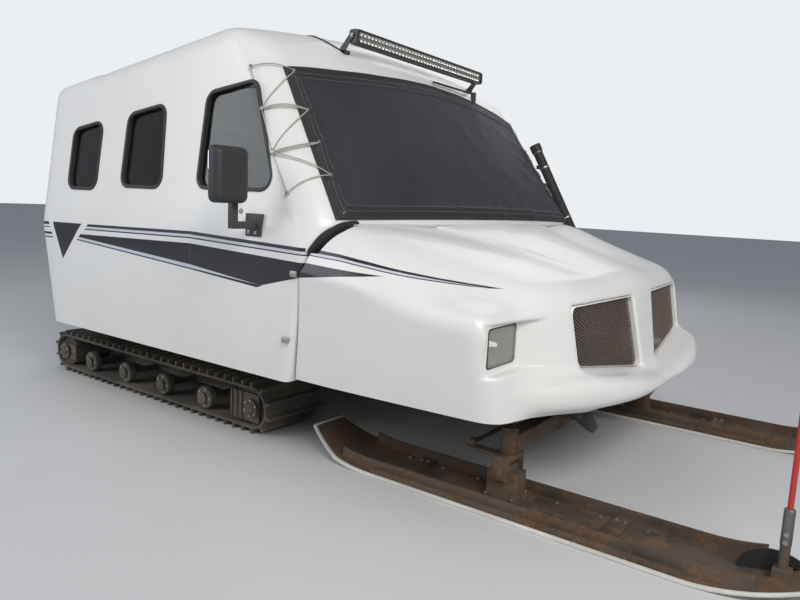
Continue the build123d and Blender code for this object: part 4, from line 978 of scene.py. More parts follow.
def softened(nodes: Nodes, node: str, body: str, finish: AnyFinish, width: float
             ) -> Piece:
    """A copy of a CAD node with its edges rounded, which stands for the node.

    Args:
        nodes: The CAD nodes by name.
        node: The node's name.
        body: The body that it moves with.
        finish: What it is dressed in.
        width: Width of the rounded edges.

    Returns:
        The new piece.
    """
    made = bpy.data.objects.new(f"{node}_form", nodes[node].data.copy())
    bpy.context.scene.collection.objects.link(made)
    work = bmesh.new()
    work.from_mesh(made.data)
    bmesh.ops.remove_doubles(work, verts=work.verts, dist=1e-5)
    bmesh.ops.dissolve_limit(work, angle_limit=math.radians(1.0), verts=work.verts, edges=work.edges)
    work.to_mesh(made.data)
    work.free()
    made = finished(redressed(made, finish), "BEVEL", width=width, segments=2, limit_method="ANGLE",
                    angle_limit=math.radians(35.0), use_clamp_overlap=True)
    return settle(made, body, finish, [node])


def geometry_tree(name: str, inputs: Sequence[tuple[str, str, object]],
                  fill: Callable[[Graph, Given], Socket]
                  ) -> bpy.types.NodeTree:
    """Build a Geometry Nodes tree that ends in Realize Instances and Set Material.

    Args:
        name: The tree's name.
        inputs: Name, socket kind and starting value of each input after the geometry.
        fill: Adds the nodes, and gives the instances.

    Returns:
        The tree.
    """
    tree = bpy.data.node_groups.get(name)
    if tree is not None:
        return tree
    tree = bpy.data.node_groups.new(name, "GeometryNodeTree")
    tree.interface.new_socket("Geometry", in_out="INPUT", socket_type="NodeSocketGeometry")
    for label, kind, start in inputs:
        socket = tree.interface.new_socket(label, in_out="INPUT", socket_type=kind)
        if start is not None:
            socket.default_value = start
    tree.interface.new_socket("Material", in_out="INPUT", socket_type="NodeSocketMaterial")
    tree.interface.new_socket("Geometry", in_out="OUTPUT", socket_type="NodeSocketGeometry")
    graph = Graph(tree)
    entry = graph.add("NodeGroupInput")
    given = {socket.name: socket for socket in entry.outputs if socket.name}
    solid = graph.add("GeometryNodeRealizeInstances", {0: fill(graph, given)})
    dressed = graph.add("GeometryNodeSetMaterial",
                        {"Geometry": solid.outputs[0], "Material": given["Material"]})
    graph.add("NodeGroupOutput", {0: dressed.outputs[0]})
    return tree


def grown(obj: Piece, tree: bpy.types.NodeTree, values: dict[str, object]) -> Piece:
    """Run a Geometry Nodes tree on an object and keep the result as a plain mesh.

    Args:
        obj: The object that carries the points or curve, which is taken away.
        tree: The tree.
        values: Value of each named input.

    Returns:
        The plain object.
    """
    modifier = obj.modifiers.new("grow", "NODES")
    modifier.node_group = tree
    for item in tree.interface.items_tree:
        if item.in_out == "INPUT" and item.name in values:
            modifier[item.identifier] = values[item.name]
    return plain(obj)


def on_points_tree() -> bpy.types.NodeTree:
    """A tree that puts a shape on each point of a mesh, with its Z turned along the point's facing."""
    def fill(graph: Graph, given: Given) -> Socket:
        """Add the tree's nodes.

        Args:
            graph: The tree's graph.
            given: The tree's inputs by name.

        Returns:
            The geometry that the tree gives out.
        """
        facing = graph.add("GeometryNodeInputNamedAttribute", {"Name": "facing"}, data_type="FLOAT_VECTOR")
        heading = graph.add("GeometryNodeInputNamedAttribute", {"Name": "heading"}, data_type="FLOAT_VECTOR")
        turned = graph.add("FunctionNodeAlignRotationToVector", {"Vector": heading.outputs[0]}, axis="X")
        turned = graph.add("FunctionNodeAlignRotationToVector",
                           {"Rotation": turned.outputs[0], "Vector": facing.outputs[0]}, axis="Z",
                           pivot_axis="AUTO")
        shape = graph.add("GeometryNodeObjectInfo", {"Object": given["Shape"]}, transform_space="ORIGINAL")
        placed = graph.add("GeometryNodeInstanceOnPoints", {
            "Points": given["Geometry"], "Instance": shape.outputs["Geometry"], "Rotation": turned.outputs[0],
            "Scale": given["Scale"]})
        return placed.outputs[0]
    return geometry_tree("Shapes on points", [("Shape", "NodeSocketObject", None),
                                              ("Scale", "NodeSocketVector", (1.0, 1.0, 1.0))], fill)


def scatter(name: str, places: Sequence[Point], facings: object, headings: object, shape: Piece,
            finish: AnyFinish, scale: Point = (1.0, 1.0, 1.0)) -> Piece:
    """Put one small shape at many places.

    Args:
        name: The result's name.
        places: Where each copy goes.
        facings: Where each copy's Z points, or one direction for all.
        headings: Where each copy's X points, or one direction for all.
        shape: The small shape, made about its own origin, which is taken away.
        finish: What the copies are dressed in.
        scale: Size of the copies along their own axes.

    Returns:
        The plain object that holds all copies.
    """
    made = raw_object(name, places, [])
    for label, rows in (("facing", facings), ("heading", headings)):
        attribute = made.data.attributes.new(label, "FLOAT_VECTOR", "POINT")
        values = np.broadcast_to(np.array(rows, np.float32), (len(places), 3))
        attribute.data.foreach_set("vector", values.ravel())
    made = grown(made, on_points_tree(), {"Shape": shape, "Scale": scale, "Material": finish.material()})
    bpy.data.objects.remove(shape)
    return made


def small_box(low: Point, high: Point) -> Piece:
    """A small box about its own origin, for copies."""
    return weld(raw_object("small_box", *box_mesh(low, high), shift=False))


def bolt_shape() -> Piece:
    """A six-sided bolt head on a round washer, with radius and height 1."""
    rings = []
    for z, size, six_sided in ((0.0, 1.35, False), (0.25, 1.35, False), (0.25, 1.0, True), (0.9, 1.0, True),
                               (1.0, 0.85, True)):
        ring = []
        for angle in around(12):
            flat = math.cos(math.pi / 6) / math.cos((angle % (math.pi / 3)) - math.pi / 6)
            reach = size * (flat if six_sided else 1.0)
            ring.append((reach * math.cos(angle), reach * math.sin(angle), z))
        rings.append(ring)
    return skin("bolt", rings, ends=(False, True), shift=False)


def bolts(name: str, places: Sequence[Point], facing: Point, finish: AnyFinish, radius: float = 0.010,
          height: float = 0.008) -> Piece:
    """Bolt heads at some places, all facing one way.

    Args:
        name: The result's name.
        places: Where each head stands.
        facing: Where the heads point.
        finish: What they are dressed in.
        radius: Radius across the corners.
        height: Height of a head.

    Returns:
        The plain object.
    """
    heading = (1.0, 0.0, 0.0) if abs(facing[0]) < 0.9 else (0.0, 1.0, 0.0)
    return scatter(name, places, facing, heading, bolt_shape(), finish, (radius, radius, height))


@dataclass
class CabForm:
    """The cab's outer form: sections up the walls, and an arched roof over them."""

    bottom: float = 0.380
    rear: float = -1.880
    wall: float = 0.040
    belt_z: float = 0.920
    belt_half: float = 1.210
    sill_half: float = 1.155
    cowl_z: float = 1.022
    rear_corner: float = 0.105
    pillar_radius: float = 0.165
    seam_radius: float = 0.026
    seam_lean: float = 0.129
    screen_foot: float = 0.320
    screen_bow: float = 0.110
    screen_lean: float = 0.67
    side_lean: float = 0.145
    top: float = 2.050
    roof_crown: float = 6.2
    roof_planes: tuple[tuple[float, float, float], ...] = (
        (-0.470, 1.925, 0.14), (-0.470, 1.925, -0.5), (-0.235, 1.806, -1.02))
    spine: Flat = (-1.65, -0.62)
    eave_radius: tuple[float, float, float] = (0.085, 0.120, 0.30)
    wall_z: tuple[float, ...] = (0.380, 0.386, 0.44, 0.56, 0.74, 0.910, 0.930, 1.014, 1.030, 1.12)

    def levels(self) -> list[tuple[float, ...]]:
        """Front, half width, front radius, bow and height of each level section."""
        cowl_half = self.belt_half - self.side_lean * (self.cowl_z - self.belt_z)
        top_half = self.belt_half - self.side_lean * (self.top - self.belt_z)
        head = self.screen_foot - self.screen_lean * (self.top - self.cowl_z)
        return [(0.0, self.sill_half, self.seam_radius, 0.0005, self.bottom),
                (self.seam_lean, self.belt_half, self.seam_radius, 0.0005, self.belt_z),
                (self.screen_foot, cowl_half, self.pillar_radius, self.screen_bow, self.cowl_z),
                (head, top_half, self.pillar_radius, self.screen_bow, self.top)]

    def ring(self, front: float, half: float, radius: float, bow: float) -> np.ndarray:
        """One level section as a closed ring, from the rear middle round the right side to the front.

        Args:
            front: Where the middle of the front is.
            half: Half width.
            radius: Radius of the front corners.
            bow: How far the front's middle stands ahead of its corners.

        Returns:
            Rows of x and y.
        """
        rear, corner = self.rear, self.rear_corner
        side_end = front - bow - radius
        flat = half - radius
        points = [(rear, -y) for y in np.linspace(0.0, half - corner, 9)[:-1]]
        for angle in np.linspace(0.0, math.pi / 2, 9)[:-1]:
            points.append((rear + corner - corner * math.cos(angle),
                           -(half - corner) - corner * math.sin(angle)))
        points += [(x, -half) for x in np.linspace(rear + corner, side_end, 27)[:-1]]
        for angle in np.linspace(0.0, math.pi / 2, 13)[:-1]:
            points.append((side_end + radius * math.sin(angle), -flat - radius * math.cos(angle)))
        points += [(front - bow * (y / flat) ** 2, -y) for y in np.linspace(flat, 0.0, 15)]
        right = np.array(points)
        left = right[-2:0:-1] * (1.0, -1.0)
        return np.vstack([right, left])

    def wall_at(self, z: np.ndarray) -> np.ndarray:
        """Ring points at a height of their own for each.

        Args:
            z: A height for each ring point.

        Returns:
            Rows of x and y.
        """
        table = self.levels()
        rings = np.array([self.ring(*row[:-1]) for row in table])
        heights = np.array([row[-1] for row in table])
        upper = np.clip(np.searchsorted(heights, z), 1, len(heights) - 1)
        share = (z - heights[upper - 1]) / (heights[upper] - heights[upper - 1])
        index = np.arange(rings.shape[1])
        low, high = rings[upper - 1, index], rings[upper, index]
        return low + (high - low) * share[:, None]

    def roof_at(self, x: np.ndarray, y: np.ndarray) -> np.ndarray:
        """Height of the roof.

        Args:
            x: Places along the machine.
            y: Places across it.

        Returns:
            The heights.
        """
        soft = 0.060
        height = None
        for x0, z0, slope in self.roof_planes:
            plane = z0 + slope * (x - x0)
            if height is None:
                height = plane
                continue
            share = np.clip(0.5 + 0.5 * (plane - height) / soft, 0, 1)
            height = plane * (1 - share) + height * share - soft * share * (1 - share)
        return height - y * y / (2 * self.roof_crown)

    def surface(self, grow: float = 0.0) -> np.ndarray:
        """The whole outer surface as rings from the foot to the roof's spine.

        Args:
            grow: How far it is drawn outward.

        Returns:
            The points of each ring.
        """
        count = len(self.ring(*self.levels()[0][:-1]))
        low, high = np.full(count, 1.2), np.full(count, self.top)
        for _ in range(40):
            z = (low + high) / 2
            xy = self.wall_at(z)
            over = self.roof_at(xy[:, 0], xy[:, 1]) > z
            low, high = np.where(over, z, low), np.where(over, high, z)
        corner_z = (low + high) / 2
        corner = np.column_stack([self.wall_at(corner_z), corner_z])
        target = np.column_stack([np.clip(corner[:, 0], *self.spine), np.zeros(count)])
        probe = 0.05
        down = np.column_stack([self.wall_at(corner_z - probe), corner_z - probe]) - corner
        down /= np.linalg.norm(down, axis=1)[:, None]
        inward = target - corner[:, :2]
        inward /= np.linalg.norm(inward, axis=1)[:, None]
        step = corner[:, :2] + inward * probe
        along = np.column_stack([step, self.roof_at(step[:, 0], step[:, 1])]) - corner
        along /= np.linalg.norm(along, axis=1)[:, None]
        half_angle = np.arccos(np.clip((down * along).sum(1), -1, 1)) / 2
        radius = np.where(corner[:, 0] < self.rear + 0.4, *self.eave_radius[:2])
        front = np.abs(corner[:, 1]) < self.belt_half - 0.35
        radius = np.where((corner[:, 0] > self.spine[1]) & front, self.eave_radius[2], radius)
        reach = np.minimum(radius / np.tan(half_angle), 0.16)
        foot = corner + down * reach[:, None]
        head = corner + along * reach[:, None]
        rings = [np.column_stack([self.wall_at(np.full(count, z)), np.full(count, z)]) for z in self.wall_z]
        for share in np.linspace(0, 1, 7)[1:]:
            z = self.wall_z[-1] + (foot[:, 2] - self.wall_z[-1]) * share
            rings.append(np.column_stack([self.wall_at(z), z]))
        for share in np.linspace(0, 1, 10)[1:]:
            rings.append(foot * (1 - share) ** 2 + corner * 2 * share * (1 - share) + head * share ** 2)
        sink = head[:, 2] - self.roof_at(head[:, 0], head[:, 1])
        for share in np.linspace(0, 1, 15)[1:]:
            xy = head[:, :2] + (target - head[:, :2]) * share
            z = self.roof_at(xy[:, 0], xy[:, 1]) + sink * (1 - share) ** 2
            rings.append(np.column_stack([xy, z]))
        grid = np.array(rings)
        return grid + self.normals(grid) * grow if grow else grid

    @staticmethod
    def normals(grid: np.ndarray) -> np.ndarray:
        """Outward directions at every ring point.

        Args:
            grid: The surface's rings.

        Returns:
            One unit row for each point.
        """
        round_way = np.roll(grid, -1, axis=1) - np.roll(grid, 1, axis=1)
        normal = np.cross(round_way, np.gradient(grid, axis=0))
        length = np.linalg.norm(normal, axis=2)[..., None]
        return np.where(length > 1e-9, normal / np.maximum(length, 1e-9), (0.0, 0.0, 1.0))

    def closed(self, name: str, grow: float) -> Piece:
        """The outer form as a closed solid, drawn outward."""
        return skin(name, self.surface(grow), ends=(True, False), reach=1e-4)


WINDOW_ROWS = (
    # rear x, front x at the foot, front x at the head, foot z, head z at the rear, head z at the front
    (-1.585, -1.335, -1.335, 1.118, 1.408, 1.446),
    (-1.110, -0.800, -0.838, 1.138, 1.468, 1.508),
    (-0.540, -0.072, -0.252, 1.146, 1.540, 1.578),
)


def window_corners(row: Sequence[float], grow: float = 0.0) -> list[Flat]:
    """Corners of one side window as x and z.

    Args:
        row: One of WINDOW_ROWS.
        grow: How far it is drawn outward all round.

    Returns:
        The corners.
    """
    rear_x, foot_front, head_front, foot_z, head_rear_z, head_front_z = row
    return [(rear_x - grow, foot_z - grow), (foot_front + grow, foot_z - grow),
            (head_front + grow, head_front_z + grow), (rear_x - grow, head_rear_z + grow)]


@dataclass
class Cab:
    """The moulded cab shell with its openings, floor, window seals and roof hatch."""

    form: CabForm = field(default_factory=CabForm)
    window_corner: float = 0.048
    screen_corners: tuple[Flat, ...] = ((-0.985, 1.085), (0.985, 1.085), (0.900, 1.650),
                                                        (-0.900, 1.650))
    door_half: float = 0.330
    door_foot: float = 0.440
    door_head: float = 1.560
    hatch_x: float = -1.180
    hatch_half: float = 0.270
    seal_width: float = 0.012
    seal_height: float = 0.006
    floor_hole: Flat = (0.21, 0.19)
    floor_hole_x: Flat = (-0.650, -1.330)

    def openings(self) -> Piece:
        """What cuts the windows, windscreen, rear door and roof hatch."""
        cutters = []
        for index, row in enumerate(WINDOW_ROWS):
            outline = rounded_polygon(window_corners(row), self.window_corner)
            cutters.append(prism(f"cut_window_{index}", outline, Axis.Y, -1.5, 1.5, REVEAL))
        cutters.append(prism("cut_screen", rounded_polygon(self.screen_corners, 0.07), Axis.X, -0.5, 0.7,
                             LINER))
        half = self.door_half
        door = rounded_polygon([(-half, self.door_foot), (half, self.door_foot), (half, self.door_head),
                                (-half, self.door_head)], 0.06)
        cutters.append(prism("cut_door", door, Axis.X, -2.0, -1.75, PLAIN_GEL))
        half = self.hatch_half
        corners = box_mesh((self.hatch_x - half, -half, 1.5), (self.hatch_x + half, half, 2.1))
        cutters.append(raw_object("cut_hatch", *corners, PLAIN_GEL))
        return join("cab_cutter", cutters)

    def shell(self) -> Piece:
        """The shell with its wall and openings."""
        made = skin("cab_shell", self.form.surface(), CAB_GEL, ends=(False, False), reach=1e-4)
        made.data.materials.append(LINER.material())
        made = finished(made, "SOLIDIFY", thickness=self.form.wall, offset=-1.0, material_offset=1,
                        use_even_offset=True)
        return settle(carved(made, self.openings()), ROOT, CAB_GEL, [
            "cab_roof", "cab_rear_wall", "cab_front_frame", "cab_side_left", "cab_side_right"], angle=30.0)

    def side_y(self, z: float) -> float:
        """Half width of the cab's side above the belt at a height."""
        return self.form.belt_half - self.form.side_lean * (z - self.form.belt_z)

    def window_seals(self) -> None:
        """Rubber frames round the side windows, one piece a side."""
        width, out = self.seal_width, self.seal_height
        rows = ((0.0, -0.026), (0.0, out * 0.6), (0.22, out), (0.78, out), (1.0, out * 0.45), (1.0, -0.002))
        for side in Side:
            def place(x: float, z: float, lift: float) -> Point:
                """A point above the cab's side, from x, z and height."""
                return (x, side.value * (self.side_y(z) + lift), z)
            rings = []
            for index, row in enumerate(WINDOW_ROWS):
                inner = rounded_polygon(window_corners(row, -0.004), self.window_corner - 0.004)
                outer = rounded_polygon(window_corners(row, width), self.window_corner + width)
                rings.append(trim_ring(f"seal_{side.word}_{index}", inner, outer, rows, place, SEAL))
            settle(join(f"window_seals_{side.word}", rings), ROOT, SEAL)

    def floor(self) -> None:
        """The floor pan with its two fishing openings."""
        form = self.form
        plan = form.wall_at(np.full(len(form.ring(*form.levels()[0][:-1])), form.bottom + 0.02))
        middle = np.array([-0.9, 0.0])
        inner = middle + (plan - middle) * 0.98
        made = prism("cab_floor_pan", inner, Axis.Z, form.bottom + 0.001, form.bottom + 0.040, LINER)
        half_x, half_y = self.floor_hole
        holes = [raw_object(f"cut_floor_{x}",
                            *box_mesh((x - half_x, -half_y, 0.3), (x + half_x, half_y, 0.5)),
                            PLAIN_GEL) for x in self.floor_hole_x]
        settle(carved(made, join("floor_cutter", holes)), ROOT, LINER, ["cab_floor"])

    def build(self) -> None:
        """Make all of the cab's own pieces."""
        self.shell()
        self.window_seals()
        self.floor()


def surface_net(field_of: Callable[[np.ndarray], np.ndarray], axes: Sequence[np.ndarray]
                ) -> tuple[np.ndarray, list[tuple[int, int, int, int]]]:
    """Mesh the zero level of a field with one corner in each cell that it crosses.

    Args:
        field_of: Gives the field at rows of points, negative inside.
        axes: The grid's places along x, y and z, which need not be even.

    Returns:
        The corners and the four-sided faces.
    """
    grid = np.stack(np.meshgrid(*axes, indexing="ij"), -1)
    shape = grid.shape[:3]
    values = field_of(grid.reshape(-1, 3)).reshape(shape)
    inside = values < 0
    sums = np.zeros((*(n - 1 for n in shape), 3))
    hits = np.zeros([n - 1 for n in shape])
    for axis in range(3):
        first = tuple(slice(None, -1) if a == axis else slice(None) for a in range(3))
        second = tuple(slice(1, None) if a == axis else slice(None) for a in range(3))
        crossing = inside[first] != inside[second]
        low, high = values[first], values[second]
        share = np.where(crossing, low / np.where(crossing, low - high, 1.0), 0.0)
        places = grid[first] + (grid[second] - grid[first]) * share[..., None]
        places = places * crossing[..., None]
        across = [a for a in range(3) if a != axis]
        for shift_a in (0, 1):
            for shift_b in (0, 1):
                cut = [slice(None)] * 3
                cut[across[0]] = slice(shift_a, shape[across[0]] - 1 + shift_a)
                cut[across[1]] = slice(shift_b, shape[across[1]] - 1 + shift_b)
                sums += places[tuple(cut)]
                hits += crossing[tuple(cut)]
    used = hits > 0
    number = np.full(hits.shape, -1)
    number[used] = np.arange(used.sum())
    points = sums[used] / hits[used][:, None]
    faces = []
    for axis in range(3):
        first = tuple(slice(None, -1) if a == axis else slice(None) for a in range(3))
        second = tuple(slice(1, None) if a == axis else slice(None) for a in range(3))
        crossing = np.argwhere(inside[first] != inside[second])
        a, b = [n for n in range(3) if n != axis]
        keep = (crossing[:, a] > 0) & (crossing[:, b] > 0)
        keep &= (crossing[:, a] < shape[a] - 1) & (crossing[:, b] < shape[b] - 1)
        crossing = crossing[keep]
        corners = []
        for step_a, step_b in ((-1, -1), (0, -1), (0, 0), (-1, 0)):
            cell = crossing.copy()
            cell[:, a] += step_a
            cell[:, b] += step_b
            corners.append(number[tuple(cell.T)])
        quads = np.column_stack(corners)
        turned = inside[tuple(crossing.T)] != (axis == 1)
        quads[~turned] = quads[~turned][:, ::-1]
        faces += [tuple(int(n) for n in row) for row in quads]
    return points, faces


def graded(start: float, stop: float, coarse: float, fine: float, spots: Outline) -> np.ndarray:
    """Grid places along one axis that lie closer together near some spots.

    Args:
        start: First place.
        stop: Where the places end.
        coarse: Usual step.
        fine: Step near a spot.
        spots: Middle and reach of each spot.

    Returns:
        The places.
    """
    places = [start]
    while places[-1] < stop:
        here = places[-1]
        near = any(abs(here - middle) < reach for middle, reach in spots)
        ends = [middle - reach - here for middle, reach in spots if 1e-6 < middle - reach - here < coarse]
        places.append(here + (fine if near else min([coarse, *ends])))
    return np.array(places)


def soft_max(first: np.ndarray, second: np.ndarray, soft: float) -> np.ndarray:
    """The larger of two fields with a rounded join.

    Args:
        first: One field.
        second: Other field.
        soft: How wide the rounding is.

    Returns:
        The joined field.
    """
    share = np.clip(0.5 + 0.5 * (first - second) / soft, 0, 1)
    return second * (1 - share) + first * share + soft * share * (1 - share)


def soft_min(first: np.ndarray, second: np.ndarray, soft: float) -> np.ndarray:
    """The smaller of two fields with a rounded join."""
    return -soft_max(-first, -second, soft)


def hermite(share: np.ndarray, start: np.ndarray, end: np.ndarray, leave: np.ndarray, arrive: np.ndarray
            ) -> np.ndarray:
    """A cubic between two values.

    Args:
        share: How far along it is read, from 0 to 1.
        start: Value at 0.
        end: Value at 1.
        leave: Slope at 0.
        arrive: Slope at 1.

    Returns:
        The cubic's values.
    """
    square, cube = share ** 2, share ** 3
    return ((2 * cube - 3 * square + 1) * start + (cube - 2 * square + share) * leave
            + (3 * square - 2 * cube) * end + (cube - square) * arrive)


def smooth_rows(places: np.ndarray, knots: Sequence[float], rows: Sequence[float]) -> np.ndarray:
    """A smooth curve through a few knots, with its ends' slope past them.

    Args:
        places: Where the curve is read.
        knots: Rising places of the knots.
        rows: The curve's value at each knot.

    Returns:
        The curve's values.
    """
    knots, rows = np.array(knots, float), np.array(rows, float)
    slopes = np.diff(rows) / np.diff(knots)
    tangents = np.concatenate([[slopes[0]], (slopes[1:] + slopes[:-1]) / 2, [slopes[-1]]])
    tangents[1:-1][slopes[1:] * slopes[:-1] <= 0] = 0.0
    index = np.clip(np.searchsorted(knots, places) - 1, 0, len(knots) - 2)
    width = knots[index + 1] - knots[index]
    share = (np.clip(places, knots[0], knots[-1]) - knots[index]) / width
    value = hermite(share, rows[index], rows[index + 1], tangents[index] * width, tangents[index + 1] * width)
    value += np.minimum(places - knots[0], 0.0) * tangents[0]
    return value + np.maximum(places - knots[-1], 0.0) * tangents[-1]


CLIP_ROWS = (
    # x, sill y, shoulder y, shoulder z, edge z, valley y, valley z, then
    # dome y, dome z, crease y, crease z and crown z
    (-0.080, 1.120, 1.208, 0.850, 1.005, 1.145, 1.030, 1.060, 1.048, 0.640, 1.080, 1.092),
    (0.200, 1.118, 1.206, 0.826, 0.985, 1.140, 1.010, 1.060, 1.026, 0.610, 1.043, 1.066),
    (0.560, 1.100, 1.190, 0.790, 0.785, 1.080, 0.865, 0.900, 0.931, 0.350, 0.955, 0.974),
    (0.900, 1.075, 1.160, 0.750, 0.748, 0.905, 0.775, 0.800, 0.829, 0.290, 0.864, 0.880),
    (1.100, 1.040, 1.130, 0.728, 0.722, 0.840, 0.740, 0.730, 0.775, 0.275, 0.815, 0.838),
)


@dataclass
class FrontClip:
    """The tilting front moulding: bonnet, wings, nose and bumper in one."""

    form: CabForm
    bottom: float = 0.390
    wall: float = 0.010
    seam_gap: float = 0.014
    nose_y: tuple[float, ...] = (0.0, 0.15, 0.42, 0.68, 0.82, 0.95, 1.12, 1.30)
    nose_x: tuple[float, ...] = (1.034, 1.031, 1.014, 0.988, 0.940, 0.914, 0.896, 0.880)
    grille_top: float = 0.765
    lip_y: tuple[float, ...] = (0.0, 0.25, 0.45, 0.70, 0.90, 1.03, 1.09)
    lip_x: tuple[float, ...] = (1.218, 1.212, 1.190, 1.112, 0.990, 0.860, 0.760)
    lamp_face: float = 0.872
    pocket: tuple[float, float, float, float] = (0.885, 1.113, 0.560, 0.728)
    lamp_hole: tuple[float, float, float, float] = (0.893, 1.098, 0.579, 0.720)
    grille: tuple[Flat, ...] = ((0.680, 0.765), (0.132, 0.768), (0.098, 0.470), (0.672, 0.549))
    grille_corner: float = 0.03
    grille_depth: float = 0.026
    pocket_slant: float = 0.95
    crease_step: float = 0.010
    crease_width: float = 0.010
    crease_plane: float = 0.400
    cowl_gap: float = 0.045
    cowl_reach: float = 0.012

    def top_height(self, x: np.ndarray, across: np.ndarray) -> np.ndarray:
        """Height of the moulding's upper skin.

        Args:
            x: Places along the machine.
            across: Distance from the middle.

        Returns:
            The heights.
        """
        table = np.array(CLIP_ROWS)
        columns = [smooth_rows(x, table[:, 0], table[:, index]) for index in range(2, table.shape[1])]
        shoulder_y, _, edge_z, valley_y, valley_z, dome_y, dome_z, crease_y, crease_z, crown_z = columns
        step = self.crease_step * np.clip((0.88 - x) / 0.35, 0, 1)
        knots_y = np.array([crease_y, dome_y, valley_y, shoulder_y, shoulder_y + 0.12])
        knots_z = np.array([crease_z - step, dome_z, valley_z, edge_z, edge_z - 0.09])
        slopes = np.diff(knots_z, axis=0) / np.diff(knots_y, axis=0)
        tangents = np.vstack([slopes[:1] * 0.9, (slopes[1:] + slopes[:-1]) / 2, slopes[-1:]])
        height = np.array(knots_z[-1])
        for index in range(len(knots_y) - 1):
            width = knots_y[index + 1] - knots_y[index]
            share = np.clip((across - knots_y[index]) / width, 0, 1)
            curve = hermite(share, knots_z[index], knots_z[index + 1], tangents[index] * width,
                            tangents[index + 1] * width)
            height = np.where((across >= knots_y[index]) & (across <= knots_y[index + 1]), curve, height)
        panel = crown_z + (crease_z - crown_z) * (across / crease_y) ** 2
        rise = np.clip((crease_y + 0.5 * self.crease_width - across) / self.crease_width, 0, 1)
        beside = np.where(across >= crease_y, height, crease_z - step)
        return np.where(rise > 0, panel * rise + beside * (1 - rise), height)

    def half_width(self, x: np.ndarray, z: np.ndarray) -> np.ndarray:
        """Half width of the wings' sides.

        Args:
            x: Places along the machine.
            z: Heights.

        Returns:
            The half widths.
        """
        table = np.array(CLIP_ROWS)
        sill, shoulder, top = (smooth_rows(x, table[:, 0], table[:, index]) for index in (1, 2, 3))
        share = np.clip((z - self.bottom) / (top - self.bottom), -0.2, 1.0)
        return sill + (shoulder - sill) * share - 0.24 * np.maximum(z - top, 0.0)

    def warped(self, points: np.ndarray) -> np.ndarray:
        """Carry grid points so that two of the grid's planes follow the bonnet's creases.

        Args:
            points: Rows of x, y and z on the even grid.

        Returns:
            The carried points.
        """
        table = np.array(CLIP_ROWS)
        crease = smooth_rows(points[:, 0], table[:, 0], table[:, 9])
        across = np.abs(points[:, 1])
        still, edge = self.crease_plane, 1.26
        inner = across / still * crease
        outer = crease + (across - still) / (edge - still) * (edge - crease)
        return np.column_stack([points[:, 0], np.sign(points[:, 1]) * np.where(across < still, inner, outer),
                                points[:, 2]])

    def nose_face(self, across: np.ndarray, z: np.ndarray) -> np.ndarray:
        """Where the nose's face lies along the machine, leaning forward towards its foot."""
        lean = np.interp(across, (0.68, 0.90), (0.18, 0.05))
        return smooth_rows(across, self.nose_y, self.nose_x) + (self.grille_top - z) * lean

    def field_of(self, points: np.ndarray) -> np.ndarray:
        """How far points lie outside the moulding, negative inside.

        Args:
            points: Rows of x, y and z.

        Returns:
            The distances, near enough.
        """
        x, across, z = points[:, 0], np.abs(points[:, 1]), points[:, 2]
        top = (z - self.top_height(x, across)) * 0.88
        side = across - self.half_width(x, z)
        nose = (x - self.nose_face(across, z)) * 0.95
        shoulder_soft = np.interp(x, (0.2, 0.6), (0.110, 0.060))
        body = soft_max(soft_max(top, side, shoulder_soft), nose, 0.085)
        lip_front = (x - smooth_rows(across, self.lip_y, self.lip_x) - (z - 0.50) * 0.12) * 0.82
        lip_low = self.bottom + 0.012 - z + np.maximum(x - 0.9, 0) * -0.03
        lip_head = np.interp(across, (0.0, 0.10, 0.68, 0.90), (0.456, 0.458, 0.528, 0.520))
        lip = soft_max(lip_front, z - lip_head + np.maximum(x - 1.05, 0) * 0.06, 0.070)
        lip = soft_max(soft_max(lip, side + 0.006, 0.05), lip_low, 0.05)
        form = soft_min(body, lip + np.maximum(0.82 - x, 0.0) * 0.3, 0.045)
        inner, outer, foot, head = self.pocket
        slant = self.pocket_slant * np.maximum(x - self.lamp_face, 0.0)
        room = np.maximum(np.maximum((inner - slant - across) * 0.75, across - outer),
                          np.maximum(foot - z, z - head))
        room = soft_max(room, self.lamp_face - 0.004 - x, 0.010)
        form = soft_max(form, -room, 0.020)
        (y0, z0), (y1, z1), (y2, z2), (y3, z3) = self.grille
        top_edge = z - (z1 + (z0 - z1) * (across - y1) / (y0 - y1))
        foot_edge = z2 + (z3 - z2) * (across - y2) / (y3 - y2) - z
        inner_edge = y2 + (y1 - y2) * (z - z2) / (z1 - z2) - across
        outer_edge = across - (y3 + (y0 - y3) * (z - z3) / (z0 - z3))
        hole = soft_max(soft_max(top_edge, foot_edge, 0.030), soft_max(inner_edge, outer_edge, 0.030), 0.030)
        back = self.nose_face(across, z) - self.grille_depth - x
        return soft_max(form, -np.maximum(hole - 0.006, back), 0.016)

    def seated(self, points: np.ndarray) -> np.ndarray:
        """Draw points onto the moulding's true surface.

        Args:
            points: Points near it.

        Returns:
            The points on it.
        """
        step = 1e-4
        for _ in range(3):
            value = self.field_of(points)
            slope = np.column_stack([
                (self.field_of(points + offset) - self.field_of(points - offset)) / (2 * step)
                for offset in np.eye(3) * step])
            size = np.maximum((slope ** 2).sum(1), 0.2)
            points = points - slope * np.clip(value / size, -0.01, 0.01)[:, None]
        return points

    def cowl_cutter(self) -> Piece:
        """The wider gap round the foot of each windscreen pillar."""
        zones = []
        for side in Side:
            low, high = sorted((side.value * 1.03, side.value * 1.4))
            zones.append(raw_object(f"cowl_zone_{side.word}",
                                    *box_mesh((0.0, low, 0.915), (0.45, high, 1.12))))
        return carved(self.form.closed("cut_cowl", self.cowl_gap), join("cowl_zone", zones), "INTERSECT")

